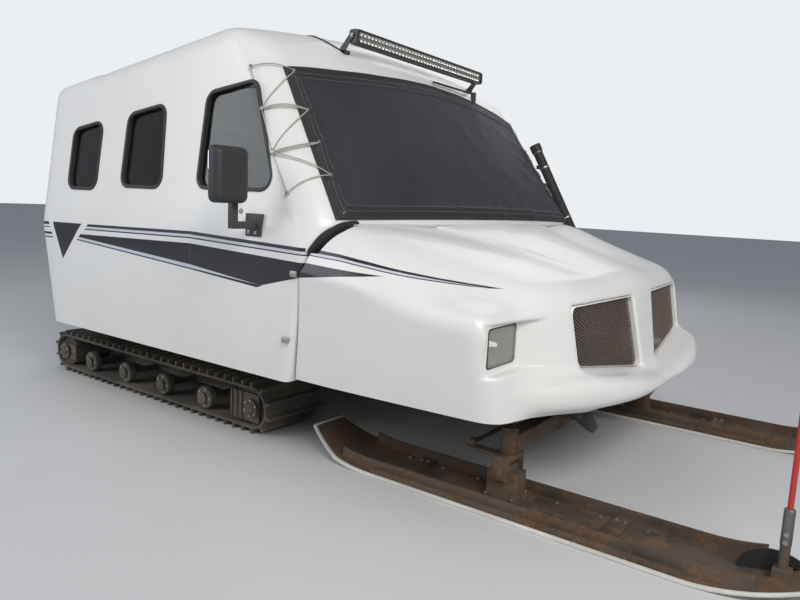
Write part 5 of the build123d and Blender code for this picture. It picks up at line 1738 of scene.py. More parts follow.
    def cowl_seal(self) -> None:
        """Black rubber over the wide gap, lying on the cab's moulding."""
        def near_edge(rows: np.ndarray) -> np.ndarray:
            """Tell how far points lie outside the moulding's grown rear edge at the pillar foot.

            Args:
                rows: The points, one a row.

            Returns:
                The distances, negative inside.
            """
            x, across, z = rows[:, 0], np.abs(rows[:, 1]), rows[:, 2]
            zone = np.maximum(np.maximum(0.905 - z, z - 1.09), np.maximum(0.06 - x, 1.0 - across))
            return np.maximum(self.field_of(rows) - self.cowl_reach, zone)

        step = 0.012
        half = np.arange(0.96, 1.271, step)
        pieces = []
        for side in Side:
            axes = [np.arange(0.03, 0.36, step), np.sort(side.value * half), np.arange(0.88, 1.12, step)]
            pieces.append(raw_object(f"cowl_zone_{side.word}", *surface_net(near_edge, axes), LINER))
        made = carved(redressed(self.form.closed("cowl_seal", 0.012), SEAL), join("cowl_zone", pieces),
                      "INTERSECT")
        self.drop_faces(made, LINER.name)
        settle(finished(made, "SOLIDIFY", thickness=0.011, offset=-1.0), ROOT, SEAL)

    @staticmethod
    def drop_faces(obj: Piece, material: str) -> None:
        """Delete an object's faces of one material.

        Args:
            obj: The object that is changed.
            material: The material's name.
        """
        number = [item.name for item in obj.data.materials].index(material)
        work = bmesh.new()
        work.from_mesh(obj.data)
        bmesh.ops.delete(work, geom=[face for face in work.faces if face.material_index == number],
                         context="FACES")
        bmesh.ops.remove_doubles(work, verts=work.verts, dist=2e-4)
        work.to_mesh(obj.data)
        work.free()

    def hole(self, name: str, corners: Outline, radius: float, side: Side, reach: Flat) -> Piece:
        """What cuts one opening in the nose.

        Args:
            name: Its name.
            corners: The opening's corners as distance from the middle and z.
            radius: Radius of its corners.
            side: The side that it is on.
            reach: Where the cutter starts and ends along the machine.

        Returns:
            The cutter.
        """
        outline = rounded_polygon([(side.value * y, z) for y, z in corners], radius)
        return prism(f"{name}_{side.word}", outline, Axis.X, *reach, SEAL)

    def shell(self) -> None:
        """The moulding as a thin open shell."""
        half = graded(0.0126, 1.262, 0.0126, 0.006, ((self.crease_plane, 0.009), (0.152, 0.035), (0.69, 0.02),
                                                     (0.90, 0.02), (1.12, 0.02)))
        axes = [graded(-0.10, 1.28, 0.012, 0.007, ((0.88, 0.02), (1.00, 0.07))),
                np.concatenate([-half[::-1], [0.0], half]),
                graded(0.36, 1.14, 0.0118, 0.006, ((0.556, 0.03), (0.745, 0.035)))]
        points, faces = surface_net(lambda rows: self.field_of(self.warped(rows)), axes)
        made = raw_object("front_clip_shell", self.seated(self.warped(points)), faces, CLIP_GEL)
        foot = box_mesh((-0.5, -2.0, 0.0), (2.0, 2.0, self.bottom + 0.002))
        cutters = [redressed(cutter, SEAL) for cutter in (self.form.closed("cut_cab", self.seam_gap),
                                                          self.cowl_cutter(), raw_object("cut_foot", *foot))]
        y0, y1, z0, z1 = self.lamp_hole
        for side in Side:
            cutters.append(self.hole("cut_grille", self.grille, self.grille_corner, side, (0.70, 1.3)))
            cutters.append(self.hole("cut_lamp", ((y0, z0), (y1, z0), (y1, z1), (y0, z1)), 0.016, side,
                                     (0.80, 0.93)))
        for cutter in cutters:
            made = carved(made, cutter)
        self.drop_faces(made, SEAL.name)
        made = finished(made, "SOLIDIFY", thickness=self.wall, offset=-1.0)
        settle(made, "front_clip", CLIP_GEL, ["front_clip"], angle=50.0)

    def build(self) -> None:
        """Make the moulding and its seals."""
        self.shell()
        self.cowl_seal()


def rounded_path(points: Sequence[Point], radius: float, steps: int = 5) -> list[Vector]:
    """A path whose inner corners are rounded.

    Args:
        points: Its corners.
        radius: How far before and after a corner the rounding reaches.
        steps: Runs round each corner.

    Returns:
        The rounded path's points.
    """
    rows = [Vector(point) for point in points]
    path = [rows[0]]
    for index in range(1, len(rows) - 1):
        back, ahead = rows[index - 1] - rows[index], rows[index + 1] - rows[index]
        start = rows[index] + back.normalized() * min(radius, back.length * 0.45)
        end = rows[index] + ahead.normalized() * min(radius, ahead.length * 0.45)
        for step in range(steps + 1):
            share = step / steps
            path.append(start.lerp(rows[index], share).lerp(rows[index].lerp(end, share), share))
    return path + [rows[-1]]


class Wrap:
    """Finds places on the cab's outer form."""

    def __init__(self, form: CabForm, grow: float) -> None:
        """Keep the form's faces for looking up.

        Args:
            form: The cab's form.
            grow: How far the form is grown first.
        """
        solid = form.closed("wrap_form", grow)
        self.shift = Vector((FRAME_SHIFT, 0.0, 0.0))
        self.tree = BVHTree.FromPolygons([vertex.co for vertex in solid.data.vertices],
                                         [tuple(face.vertices) for face in solid.data.polygons])
        bpy.data.objects.remove(solid)

    def along(self, start: Point, towards: Point) -> tuple[Vector, Vector]:
        """The first place met from a start in one direction, and its outward normal.

        Args:
            start: Where the search starts.
            towards: Its direction.

        Returns:
            The place and the normal.
        """
        place, normal, _, _ = self.tree.ray_cast(Vector(start) + self.shift, Vector(towards).normalized())
        return place - self.shift, normal if normal.dot(Vector(towards)) < 0 else -normal

    def over(self, point: Point, lift: float) -> Vector:
        """The point at a height above the nearest place on the form.

        Args:
            point: The point that is moved.
            lift: Its height.

        Returns:
            The moved point.
        """
        place, normal, _, _ = self.tree.find_nearest(Vector(point) + self.shift)
        cab_middle = Vector((-0.85, 0.0, 1.0))
        outward = normal if normal.dot(place - self.shift - cab_middle) > 0 else -normal
        return place - self.shift + outward * lift


@dataclass
class ScreenCover:
    """The laced vinyl cover over the windscreen."""

    form: CabForm
    head_z: float = 1.650
    foot_z: float = 1.040
    head_half: float = 1.000
    widening: float = 0.160
    head_crown: float = 0.070
    foot_crown: float = 0.014
    half_across: float = 1.04
    height: float = 0.76
    cord_lift: float = 0.0095
    rim: tuple[float, ...] = (0.0, 0.002, 0.012, 0.0135, 0.015, 0.034, 0.036, 0.0375, 0.039, 0.058, 0.060,
                              0.0615, 0.063, 0.066)
    rim_lift: tuple[float, ...] = (0.0015, 0.0050, 0.0052, 0.0034, 0.0046, 0.0046, 0.0046, 0.0026, 0.0044,
                                   0.0046, 0.0044, 0.0024, 0.0034, 0.0022)
    eyelets: tuple[float, ...] = (1.632, 1.466, 1.335, 1.205, 1.060)
    hooks: tuple[Point, ...] = ((-0.301, 1.094, 1.634), (-0.198, 1.124, 1.459), (-0.100, 1.153, 1.287),
                                (0.010, 1.175, 1.131))
    laces: tuple[tuple[int, int, float], ...] = (
        # number of the hook, number of the eyelet and how far the middle is raised
        (0, 0, 0.010), (1, 0, 0.006), (1, 1, 0.009), (1, 1, -0.002), (2, 1, 0.008), (2, 2, -0.012),
        (2, 2, -0.022), (2, 3, -0.004), (3, 3, 0.012))

    def __post_init__(self) -> None:
        """Find the form under the cover."""
        self.wrap = Wrap(self.form, 0.002)

    def half_width(self, z: float) -> float:
        """Half width of the cover at a height."""
        return self.head_half + (self.head_z - z) * self.widening

    def place(self, share: float, rise: float) -> tuple[Vector, Vector]:
        """A place on the cab under the cover.

        Args:
            share: How far across, from -1 to 1.
            rise: How far up, from 0 to 1.

        Returns:
            The place and its normal.
        """
        foot = self.foot_z + self.foot_crown * (1 - share * share)
        head = self.head_z + self.head_crown * (1 - abs(share) ** 1.6)
        z = foot + (head - foot) * rise
        return self.wrap.along((1.5, share * self.half_width(z), z), (-1.0, 0.0, 0.0))

    def fold(self, y: float, z: float) -> float:
        """Height of the slack folds.

        Args:
            y: Place across the cover.
            z: Place up it.

        Returns:
            The height.
        """
        reach = self.half_width(z) - abs(y)
        lift = 0.0016 * (1 + math.sin(5.1 * y + 7.3 * z) * math.cos(3.7 * y - 9.1 * z + 0.6))
        lift += 0.0011 * (1 + math.sin(19.0 * y + 8.0 * z + 2.0 * math.sin(6.0 * z))
                          * math.sin(5.0 * y - 16.0 * z))
        for index, height in enumerate(self.eyelets):
            for turn in (-0.34, 0.16 + 0.05 * index):
                away = (z - height - turn * reach) / (0.010 + 0.03 * reach)
                lift += 0.0075 * math.exp(-away * away) * math.exp(-reach / 0.22)
        for place, turn in ((-0.35, 0.5), (0.42, -0.3), (0.05, 0.12)):
            away = (y - place - turn * (z - 1.05)) / 0.03
            lift += 0.0045 * math.exp(-away * away) * math.exp(-abs(z - 1.05) / 0.18)
        return lift * min(1.0, reach / 0.05)

    def sheet(self) -> None:
        """The cloth with its hems and binding."""
        across, up = np.array(self.rim) / self.half_across, np.array(self.rim) / self.height
        shares = np.concatenate([across - 1, np.linspace(-0.91, 0.91, 90), (1 - across)[::-1]])
        rises = np.concatenate([up, np.linspace(0.11, 0.89, 48), (1 - up)[::-1]])
        points, kinds = [], []
        for rise in rises:
            for share in shares:
                place, normal = self.place(share, rise)
                edge = min((1 - abs(share)) * self.half_across, rise * self.height, (1 - rise) * self.height)
                lift = float(np.interp(edge, self.rim, self.rim_lift))
                points.append(place + normal * (lift + self.fold(place.y, place.z)))
                kinds.append(2 if edge < 0.0125 else 1 if edge < 0.0625 else 0)
        count = len(shares)
        faces = [(row * count + col, row * count + col + 1, (row + 1) * count + col + 1,
                  (row + 1) * count + col)
                 for row in range(len(rises) - 1) for col in range(count - 1)]
        made = raw_object("screen_cover", points, faces, COVER)
        for finish in (HEM, BINDING):
            made.data.materials.append(finish.material())
        for face in made.data.polygons:
            face.material_index = max(kinds[number] for number in faces[face.index])
        outward = 1.0 if made.data.polygons[len(faces) // 2].normal.x < 0 else -1.0
        made = finished(made, "SOLIDIFY", thickness=0.0013, offset=outward)
        settle(made, ROOT, COVER, ["windscreen_cover"], angle=60.0)

    def stitches(self) -> None:
        """The seams' stitches along the hems."""
        places, facings, headings = [], [], []
        for inset in (0.0375, 0.0615):
            edge, rise_edge = 1 - inset / self.half_across, inset / self.height
            runs = [[(sign * edge, rise) for rise in np.linspace(rise_edge, 1 - rise_edge, 82)]
                    for sign in (-1, 1)]
            runs += [[(share, rise) for share in np.linspace(-edge, edge, 230)]
                     for rise in (rise_edge, 1 - rise_edge)]
            for run in runs:
                rows = [self.place(*spot) for spot in run]
                for (here, normal), (after, _) in zip(rows, rows[1:]):
                    places.append(here.lerp(after, 0.5) + normal * (0.0042 + self.fold(here.y, here.z)))
                    facings.append(normal)
                    headings.append((after - here).normalized())
        stitch = small_box((-0.0030, -0.0007, -0.0008), (0.0030, 0.0007, 0.0008))
        settle(scatter("cover_stitches", places, facings, headings, stitch, THREAD), ROOT, THREAD)

    def laid(self, start: Point, end: Point, sag: float) -> list[Vector]:
        """A cord's path over the cab between two places.

        Args:
            start: Where it starts.
            end: Where it ends.
            sag: How far its middle is raised.

        Returns:
            The path.
        """
        path = []
        for share in np.linspace(0.0, 1.0, 11):
            point = Vector(start).lerp(Vector(end), share)
            point.z += sag * 4 * share * (1 - share)
            path.append(self.wrap.over(point, self.cord_lift))
        return path

    def tabs(self, side: Side) -> list[Vector]:
        """The eyelets' tabs on one side.

        Args:
            side: The side.

        Returns:
            Where the eyelets are.
        """
        spots = [self.wrap.along((1.5, side.value * (self.half_width(z) - 0.040), z), (-1.0, 0.0, 0.0))
                 for z in self.eyelets]
        outline = rounded_polygon([(-0.034, -0.015), (0.030, -0.015), (0.030, 0.015), (-0.034, 0.015)],
                                  0.007, 3)
        shape = skin("tab", [[(a, b, z) for a, b in outline] for z in (-0.003, 0.0035)], shift=False)
        made = scatter(f"cover_tabs_{side.word}", [place + normal * 0.0055 for place, normal in spots],
                       [normal for _, normal in spots], (0.0, 1.0, 0.1), shape, PLASTIC)
        settle(made, ROOT, HEM)
        return [place + normal * 0.011 for place, normal in spots]

    def lacing(self, side: Side) -> None:
        """Hooks, eyelets and cord on one side.

        Args:
            side: The side.
        """
        over = self.wrap.over
        ends = self.tabs(side)
        hooks = [Vector((x, side.value * y, z)) for x, y, z in self.hooks]
        metal = []
        for hook in hooks:
            foot, head, top = (over(hook, lift) for lift in (-0.004, 0.012, 0.015))
            metal += [bar("hook", foot, head, 0.0045, ZINC, 10), bar("hook_cap", head, top, 0.008, ZINC, 12)]
        for end in ends:
            ring = [end + Vector((0.30 * math.sin(a), math.cos(a), 0.8 * math.sin(a))) * 0.008
                    for a in np.linspace(0, 2 * math.pi, 15)]
            metal.append(tube("eyelet", ring, 0.0018, ZINC, 6))
        settle(join(f"cover_hooks_{side.word}", metal), ROOT, ZINC)
        cords = [tube("run", self.laid(*pair, 0.0), 0.0023, CORD, 6) for pair in zip(hooks, hooks[1:])]
        for hook, end, sag in self.laces:
            path = self.laid(hooks[hook], ends[end], sag)
            path[-1] = ends[end] + (ends[end] - over(ends[end], 0.0)).normalized() * 0.001
            cords.append(tube("lace", path, 0.0026, CORD, 6))
        for hook, radius in zip(hooks[1:3], (0.008, 0.012)):
            turn = [over(hook, self.cord_lift)
                    + Vector((0.7 * math.cos(a), 0.1 * math.cos(a), math.sin(a))) * radius
                    for a in np.linspace(0, 4 * math.pi, 25)]
            cords.append(tube("knot", turn, 0.0026, CORD, 6))
        settle(join(f"cover_lacing_{side.word}", cords), ROOT, CORD)

    def build(self) -> None:
        """Make the cover, its seams and its lacing."""
        self.sheet()
        self.stitches()
        for side in Side:
            self.lacing(side)


@dataclass
class LightBar:
    """The row of lamps on the roof's front edge, with its wire."""

    form: CabForm
    half: float = 0.562
    foot_z: float = 1.828
    head_z: float = 1.892
    back: float = -0.238
    face: float = -0.188
    columns: int = 40
    pitch: float = 0.0272
    wire_run: tuple[Flat, ...] = (
        (-0.275, -0.575), (-0.300, -0.590), (-0.36, -0.600), (-0.44, -0.590), (-0.52, -0.560),
        (-0.58, -0.520), (-0.62, -0.470))

    def __post_init__(self) -> None:
        """Find the roof under the bar."""
        self.wrap = Wrap(self.form, 0.0)

    def end(self, sign: int) -> list[Piece]:
        """End plate, arm, foot and bolt of one end.

        Args:
            sign: 1 on the left and -1 on the right.

        Returns:
            The pieces.
        """
        half, low = self.half, self.foot_z
        back, face = self.back + 0.004, self.face + 0.003
        spans = [sorted((sign * (half + a), sign * (half + b))) for a, b in ((0.0, 0.012), (0.013, 0.018),
                                                                            (-0.020, 0.018))]
        plate = rounded_polygon([(back, low), (face, low), (face, self.head_z), (back, self.head_z)], 0.012,
                                4)
        roof = self.wrap.along((-0.280, sign * (half + 0.015), 2.5), (0.0, 0.0, -1.0))[0].z
        arm = [(-0.296, roof - 0.002), (-0.258, roof - 0.008), (-0.202, low + 0.038), (-0.206, low + 0.050),
               (-0.220, low + 0.052)]
        y0, y1 = spans[2]
        return [prism("bar_end", plate, Axis.Y, *spans[0], LAMP_SHELL),
                prism("bar_arm", arm, Axis.Y, *spans[1], BLACK_STEEL),
                block("bar_foot", (-0.306, y0, roof - 0.012), (-0.252, y1, roof + 0.004), BLACK_STEEL, 0.002),
                bolts("bar_bolt", [(-0.212, sign * (half + 0.018), low + 0.036)], (0.0, float(sign), 0.0),
                      ZINC, 0.007, 0.006)]

    def housing(self) -> None:
        """Finned housing with its face frame, ends and feet."""
        half, low, high = self.half, self.foot_z, self.head_z
        pieces = [block("bar_body", (self.back + 0.010, -half, low + 0.002),
                        (self.face - 0.016, half, high - 0.002), LAMP_SHELL)]
        for z0, z1 in ((low, low + 0.009), (high - 0.009, high)):
            pieces.append(block("bar_rim", (self.face - 0.020, -half, z0), (self.face + 0.003, half, z1),
                                LAMP_SHELL, 0.002))
        pieces += self.end(-1) + self.end(1)
        middle = (low + high) / 2
        fin = small_box((-0.0012, -0.010, low + 0.002 - middle), (0.0012, 0.012, high - 0.002 - middle))
        spots = [(self.back + 0.010, y, middle) for y in np.linspace(-half + 0.01, half - 0.01, 88)]
        pieces.append(scatter("bar_fins", spots, (0.0, 0.0, 1.0), (0.0, 1.0, 0.0), fin, LAMP_SHELL))
        settle(join("light_bar_housing", pieces), ROOT, LAMP_SHELL, ["light_bar"])

    def lamps(self) -> None:
        """Reflector cups, lit chips and the cover glass."""
        spots = [(self.face - 0.004, (column - (self.columns - 1) / 2) * self.pitch, z)
                 for column in range(self.columns) for z in (1.8465, 1.8735)]
        rows = ((-0.0105, 0.0045), (-0.006, 0.0095), (0.0, 0.0128), (0.0, 0.0138), (-0.012, 0.0138))
        cup = skin("cup", [[(size * math.cos(a), size * math.sin(a), along) for a in around(12)]
                           for along, size in rows], shift=False)
        chip = small_box((-0.0036, -0.0036, -0.0105), (0.0036, 0.0036, -0.0065))
        ahead, level = (1.0, 0.0, 0.0), (0.0, 1.0, 0.0)
        lamps = [scatter("bar_cups", spots, ahead, level, cup, REFLECTOR),
                 scatter("bar_chips", spots, ahead, level, chip, LED)]
        settle(join("light_bar_lamps", lamps), ROOT, REFLECTOR)
        glass = block("light_bar_glass", (self.face - 0.0025, -0.556, 1.8375),
                      (self.face + 0.0005, 0.556, 1.8825), BAR_GLASS, 0.0008, 1)
        settle(glass, ROOT, BAR_GLASS, ["light_bar_lens"])

    def wire(self) -> None:
        """The feed wire along the roof."""
        path = [Vector((self.back + 0.012, -0.540, 1.850)), Vector((self.back - 0.014, -0.560, 1.842))]
        for x, y in self.wire_run:
            path.append(self.wrap.along((x, y, 2.5), (0.0, 0.0, -1.0))[0] + Vector((0.0, 0.0, 0.004)))
        feed = tube("bar_wire", rounded_path(path, 0.02), 0.0042, PLASTIC, 8)
        gland = lathe("bar_gland", [(-0.004, 0.0), (-0.004, 0.020), (0.004, 0.018), (0.012, 0.010),
                                    (0.012, 0.0)],
                      path[-1], Axis.Z, PLASTIC, 20)
        settle(join("light_bar_wire", [feed, gland]), ROOT, PLASTIC)

    def build(self) -> None:
        """Make the whole bar."""
        self.housing()
        self.lamps()
        self.wire()


@dataclass
class Mirrors:
    """Door mirrors: heads, glass, arms and plates."""

    low: Point = (-0.141, 1.282, 1.084)
    high: Point = (-0.079, 1.448, 1.298)
    glass_inset: float = 0.012

    def build(self, nodes: Nodes) -> None:
        """Make both mirrors.

        Args:
            nodes: The CAD nodes by name.
        """
        softened(nodes, "mirror_arms", ROOT, BLACK_STEEL, 0.002)
        heads, glasses, studs = [], [], []
        for side in Side:
            (x0, y0, z0), (x1, y1, z1) = self.low, self.high
            y0, y1 = sorted((side.value * y0, side.value * y1))
            head = block("head", (x0, y0, z0), (x1, y1, z1), PLASTIC, 0.024, 6)
            for vertex in head.data.vertices:
                share = (vertex.co.x - FRAME_SHIFT - x0) / (x1 - x0)
                middle = Vector((vertex.co.x, (y0 + y1) / 2, (z0 + z1) / 2))
                vertex.co = middle + (vertex.co - middle) * (1.0 - 0.12 * share * share)
            heads.append(head)
            inset = self.glass_inset
            pane = rounded_polygon([(y0 + inset, z0 + inset), (y1 - inset, z0 + inset),
                                    (y1 - inset, z1 - inset), (y0 + inset, z1 - inset)], 0.018)
            glasses.append(prism("pane", pane, Axis.X, x0 - 0.0015, x0 + 0.003, MIRROR))
            places = [(x, side.value * (1.206 + 0.145 * (1.0 - z)), z) for x in (-0.175, -0.135)
                      for z in (0.975, 1.03)]
            studs.append(bolts("plate_bolts", places, (0.0, float(side.value), 0.14), ZINC, 0.006, 0.005))
            studs.append(bolts("pivot", [(-0.118, side.value * 1.300, 1.058)], (1.0, 0.0, 0.0), ZINC, 0.008,
                               0.006))
        settle(join("mirror_shells", heads), ROOT, PLASTIC, ["mirror_heads"])
        settle(join("mirror_panes", glasses), ROOT, MIRROR)
        settle(join("mirror_studs", studs), ROOT, ZINC)


@dataclass
class Front:
    """Grilles and headlights, which tilt with the moulding."""

    clip: FrontClip
    cell: Flat = (0.0250, 0.0140)
    strand: float = 0.0008
    mesh_back: float = 0.026
    lamp_y: Flat = (0.895, 1.096)
    lamp_z: Flat = (0.581, 0.718)
    lamp_back: float = 0.802
    lamp_face: float = 0.870

    def face_at(self, y: float, z: float) -> float:
        """Where the nose's face lies."""
        return float(self.clip.nose_face(np.array([abs(y)]), np.array([z]))[0])

    def diamond(self) -> Piece:
        """Two crossing wires, which repeat as diamonds."""
        wires = []
        for up in (1.0, -1.0):
            run = Vector((self.cell[0] / 2, up * self.cell[1] / 2, 0.0))
            side = Vector((-run.y, run.x, 0.0)).normalized() * self.strand
            rings = [[run * end + shift + Vector((0.0, 0.0, depth + 0.0006 * up))
                      for shift, depth in ((side, 0.0012), (-side, 0.0012), (-side, -0.0012),
                                           (side, -0.0012))]
                     for end in (-1.0, 1.0)]
            wires.append(skin("wire", rings, ends=(False, False), reach=0.0, shift=False))
        return join("diamond", wires)

    def mesh(self) -> None:
        """Expanded-metal mesh, one shape for each diamond."""
        (top_y, _), _, (inner_y, foot_z), (outer_y, side_z) = self.clip.grille
        places, facings, headings = [], [], []
        for y in np.arange(0.092, 0.692, self.cell[0]):
            for z in np.arange(0.460, 0.776, self.cell[1]):
                left, right = inner_y + 0.034 * (z - foot_z) / 0.298, outer_y + (top_y - outer_y) * (z
                    - side_z) / 0.216
                foot = foot_z + (y - inner_y) * (side_z - foot_z) / (outer_y - inner_y)
                if not (left - 0.010 < y < right + 0.010 and foot - 0.012 < z < 0.776):
                    continue
                for side in Side:
                    slope = (self.face_at(y + 0.01, z) - self.face_at(y - 0.01, z)) / 0.02 * side.value
                    lean = (self.face_at(y, z + 0.01) - self.face_at(y, z - 0.01)) / 0.02
                    places.append((self.face_at(y, z) - self.mesh_back, side.value * y, z))
                    facings.append(Vector((1.0, -slope, -lean)).normalized())
                    headings.append(Vector((slope, 1.0, 0.0)).normalized())
        made = scatter("grille_wires", places, facings, headings, self.diamond(), MESH)
        settle(made, "front_clip", MESH, ["grilles"])

    def returns(self) -> None:
        """White returns round the grille openings."""
        pieces = []
        rows = ((0.0, -0.0085), (0.0, -0.029), (1.0, -0.029), (1.0, -0.0125))
        for side in Side:
            middle = Vector((side.value * 0.39, 0.64))
            edge = [Vector(spot) for spot in rounded_polygon([(side.value * y, z) for y,
                                                              z in self.clip.grille],
                                                             self.clip.grille_corner)]
            inner, outer = ([spot + (spot - middle).normalized() * grow for spot in edge]
                            for grow in (-0.0004, 0.0056))
            pieces.append(trim_ring("return", inner, outer, rows,
                                    lambda y, z, lift: (self.face_at(y, z) + lift, y, z), CLIP_GEL))
        settle(join("grille_returns", pieces), "front_clip", CLIP_GEL, angle=50.0)

    def headlight(self, side: Side) -> tuple[list[Piece], Piece]:
        """Bowl, bulb and ribbed glass of one headlight.

        Args:
            side: The side that it is on.

        Returns:
            The bowl with the bulb, and the glass.
        """
        (z0, z1), back, face = self.lamp_z, self.lamp_back, self.lamp_face
        y0, y1 = sorted(side.value * y for y in self.lamp_y)
        middle = Vector(((y0 + y1) / 2, (z0 + z1) / 2))
        outline = [Vector(spot) - middle
                   for spot in rounded_polygon([(y0, z0), (y1, z0), (y1, z1), (y0, z1)], 0.016)]
        rows = ((1.0, back), (1.0, face - 0.002), (0.955, face - 0.001), (0.955, face - 0.010),
                (0.93, face - 0.022), (0.62, back + 0.024), (0.18, back + 0.012), (0.05, back + 0.011))
        shell = skin("lamp", [[(x, *(middle + spot * share)) for spot in outline] for share, x in rows],
                     LAMP_SHELL, reach=0.0)
        shell.data.materials.append(LAMP_BOWL.material())
        outside, bands = 3 * len(outline), (len(rows) - 1) * len(outline)
        for face_index, polygon in enumerate(shell.data.polygons):
            polygon.material_index = int(face_index >= outside and face_index != bands)
        bulb = lathe("bulb", [(0.0, 0.0), (0.0, 0.012), (0.012, 0.010), (0.030, 0.008), (0.036, 0.004),
                              (0.036, 0.0)],
                     (back + 0.010, middle.x, middle.y), Axis.X, LED, 16)
        columns = np.linspace(0.985, -0.985, 53)
        rings = []
        for row in np.linspace(-1, 1, 13):
            levels = []
            for thickness in (0.0, 1.0):
                level = []
                for column in columns:
                    bulge = 0.006 * (1 - (column * row) ** 2) * (1 - 0.5 * abs(column) ** 6 - 0.5
                                                                 * abs(row) ** 6)
                    rib = 0.0005 * math.cos(column * 26 * math.pi)
                    level.append((face - 0.006 + thickness * (0.004 + bulge + rib),
                                  middle.x + column * (y1 - y0) * 0.484, middle.y + row * (z1 - z0) * 0.480))
                levels.append(level)
            rings.append(levels[0] + levels[1][::-1])
        return [weld(shell), bulb], skin("pane", rings, LAMP_GLASS)

    def headlights(self) -> None:
        """Both headlights."""
        (left, left_glass), (right, right_glass) = (self.headlight(side) for side in Side)
        settle(join("headlight_shells", left + right), "front_clip", LAMP_SHELL, ["headlight_housings"])
        settle(join("headlight_glass", [left_glass, right_glass]), "front_clip", LAMP_GLASS,
               ["headlight_lenses"], angle=60.0)

    def build(self) -> None:
        """Make grilles and headlights."""
        self.mesh()
        self.returns()
        self.headlights()


SOFTENED: tuple[tuple[str, str, AnyFinish, float], ...] = (
    ("track_left", ROOT, RUBBER, 0.0015), ("track_right", ROOT, RUBBER, 0.0015),
    ("track_wheels_left", ROOT, WHEEL, 0.004), ("track_wheels_right", ROOT, WHEEL, 0.004),
    ("track_frame_left", ROOT, TRACK_STEEL, 0.002), ("track_frame_right", ROOT, TRACK_STEEL, 0.002),
    ("chassis_frame", ROOT, BLACK_STEEL, 0.003), ("chassis_cross_members", ROOT, BLACK_STEEL, 0.003),
    ("tow_eyes", ROOT, BLACK_STEEL, 0.002), ("front_axle", ROOT, RUSTY, 0.003),
    ("tie_rod", "tie_rod", RUSTY, 0.001),
    ("ski_knuckle_left", "knuckle_left", RUSTY, 0.002), ("ski_knuckle_right", "knuckle_right", RUSTY, 0.002),
    ("ski_frame_left", "ski_left", RUSTY, 0.0015), ("ski_frame_right", "ski_right", RUSTY, 0.0015),
    ("ski_base_left", "ski_left", SKI_WHITE, 0.003), ("ski_base_right", "ski_right", SKI_WHITE, 0.003),
    ("rear_step", ROOT, ALLOY, 0.004), ("rear_door_handle", "rear_door", CHROME, 0.003),
    ("dashboard", ROOT, PLASTIC, 0.012), ("floor_hatch_front", "floor_hatch_front", ALLOY, 0.002),
    ("floor_hatch_rear", "floor_hatch_rear", ALLOY, 0.002), ("wiper", ROOT, PLASTIC, 0.0015),
    ("intake_pipe", ROOT, PLASTIC, 0.003), ("steering_wheel", "steering_wheel", PLASTIC, 0.002),
)


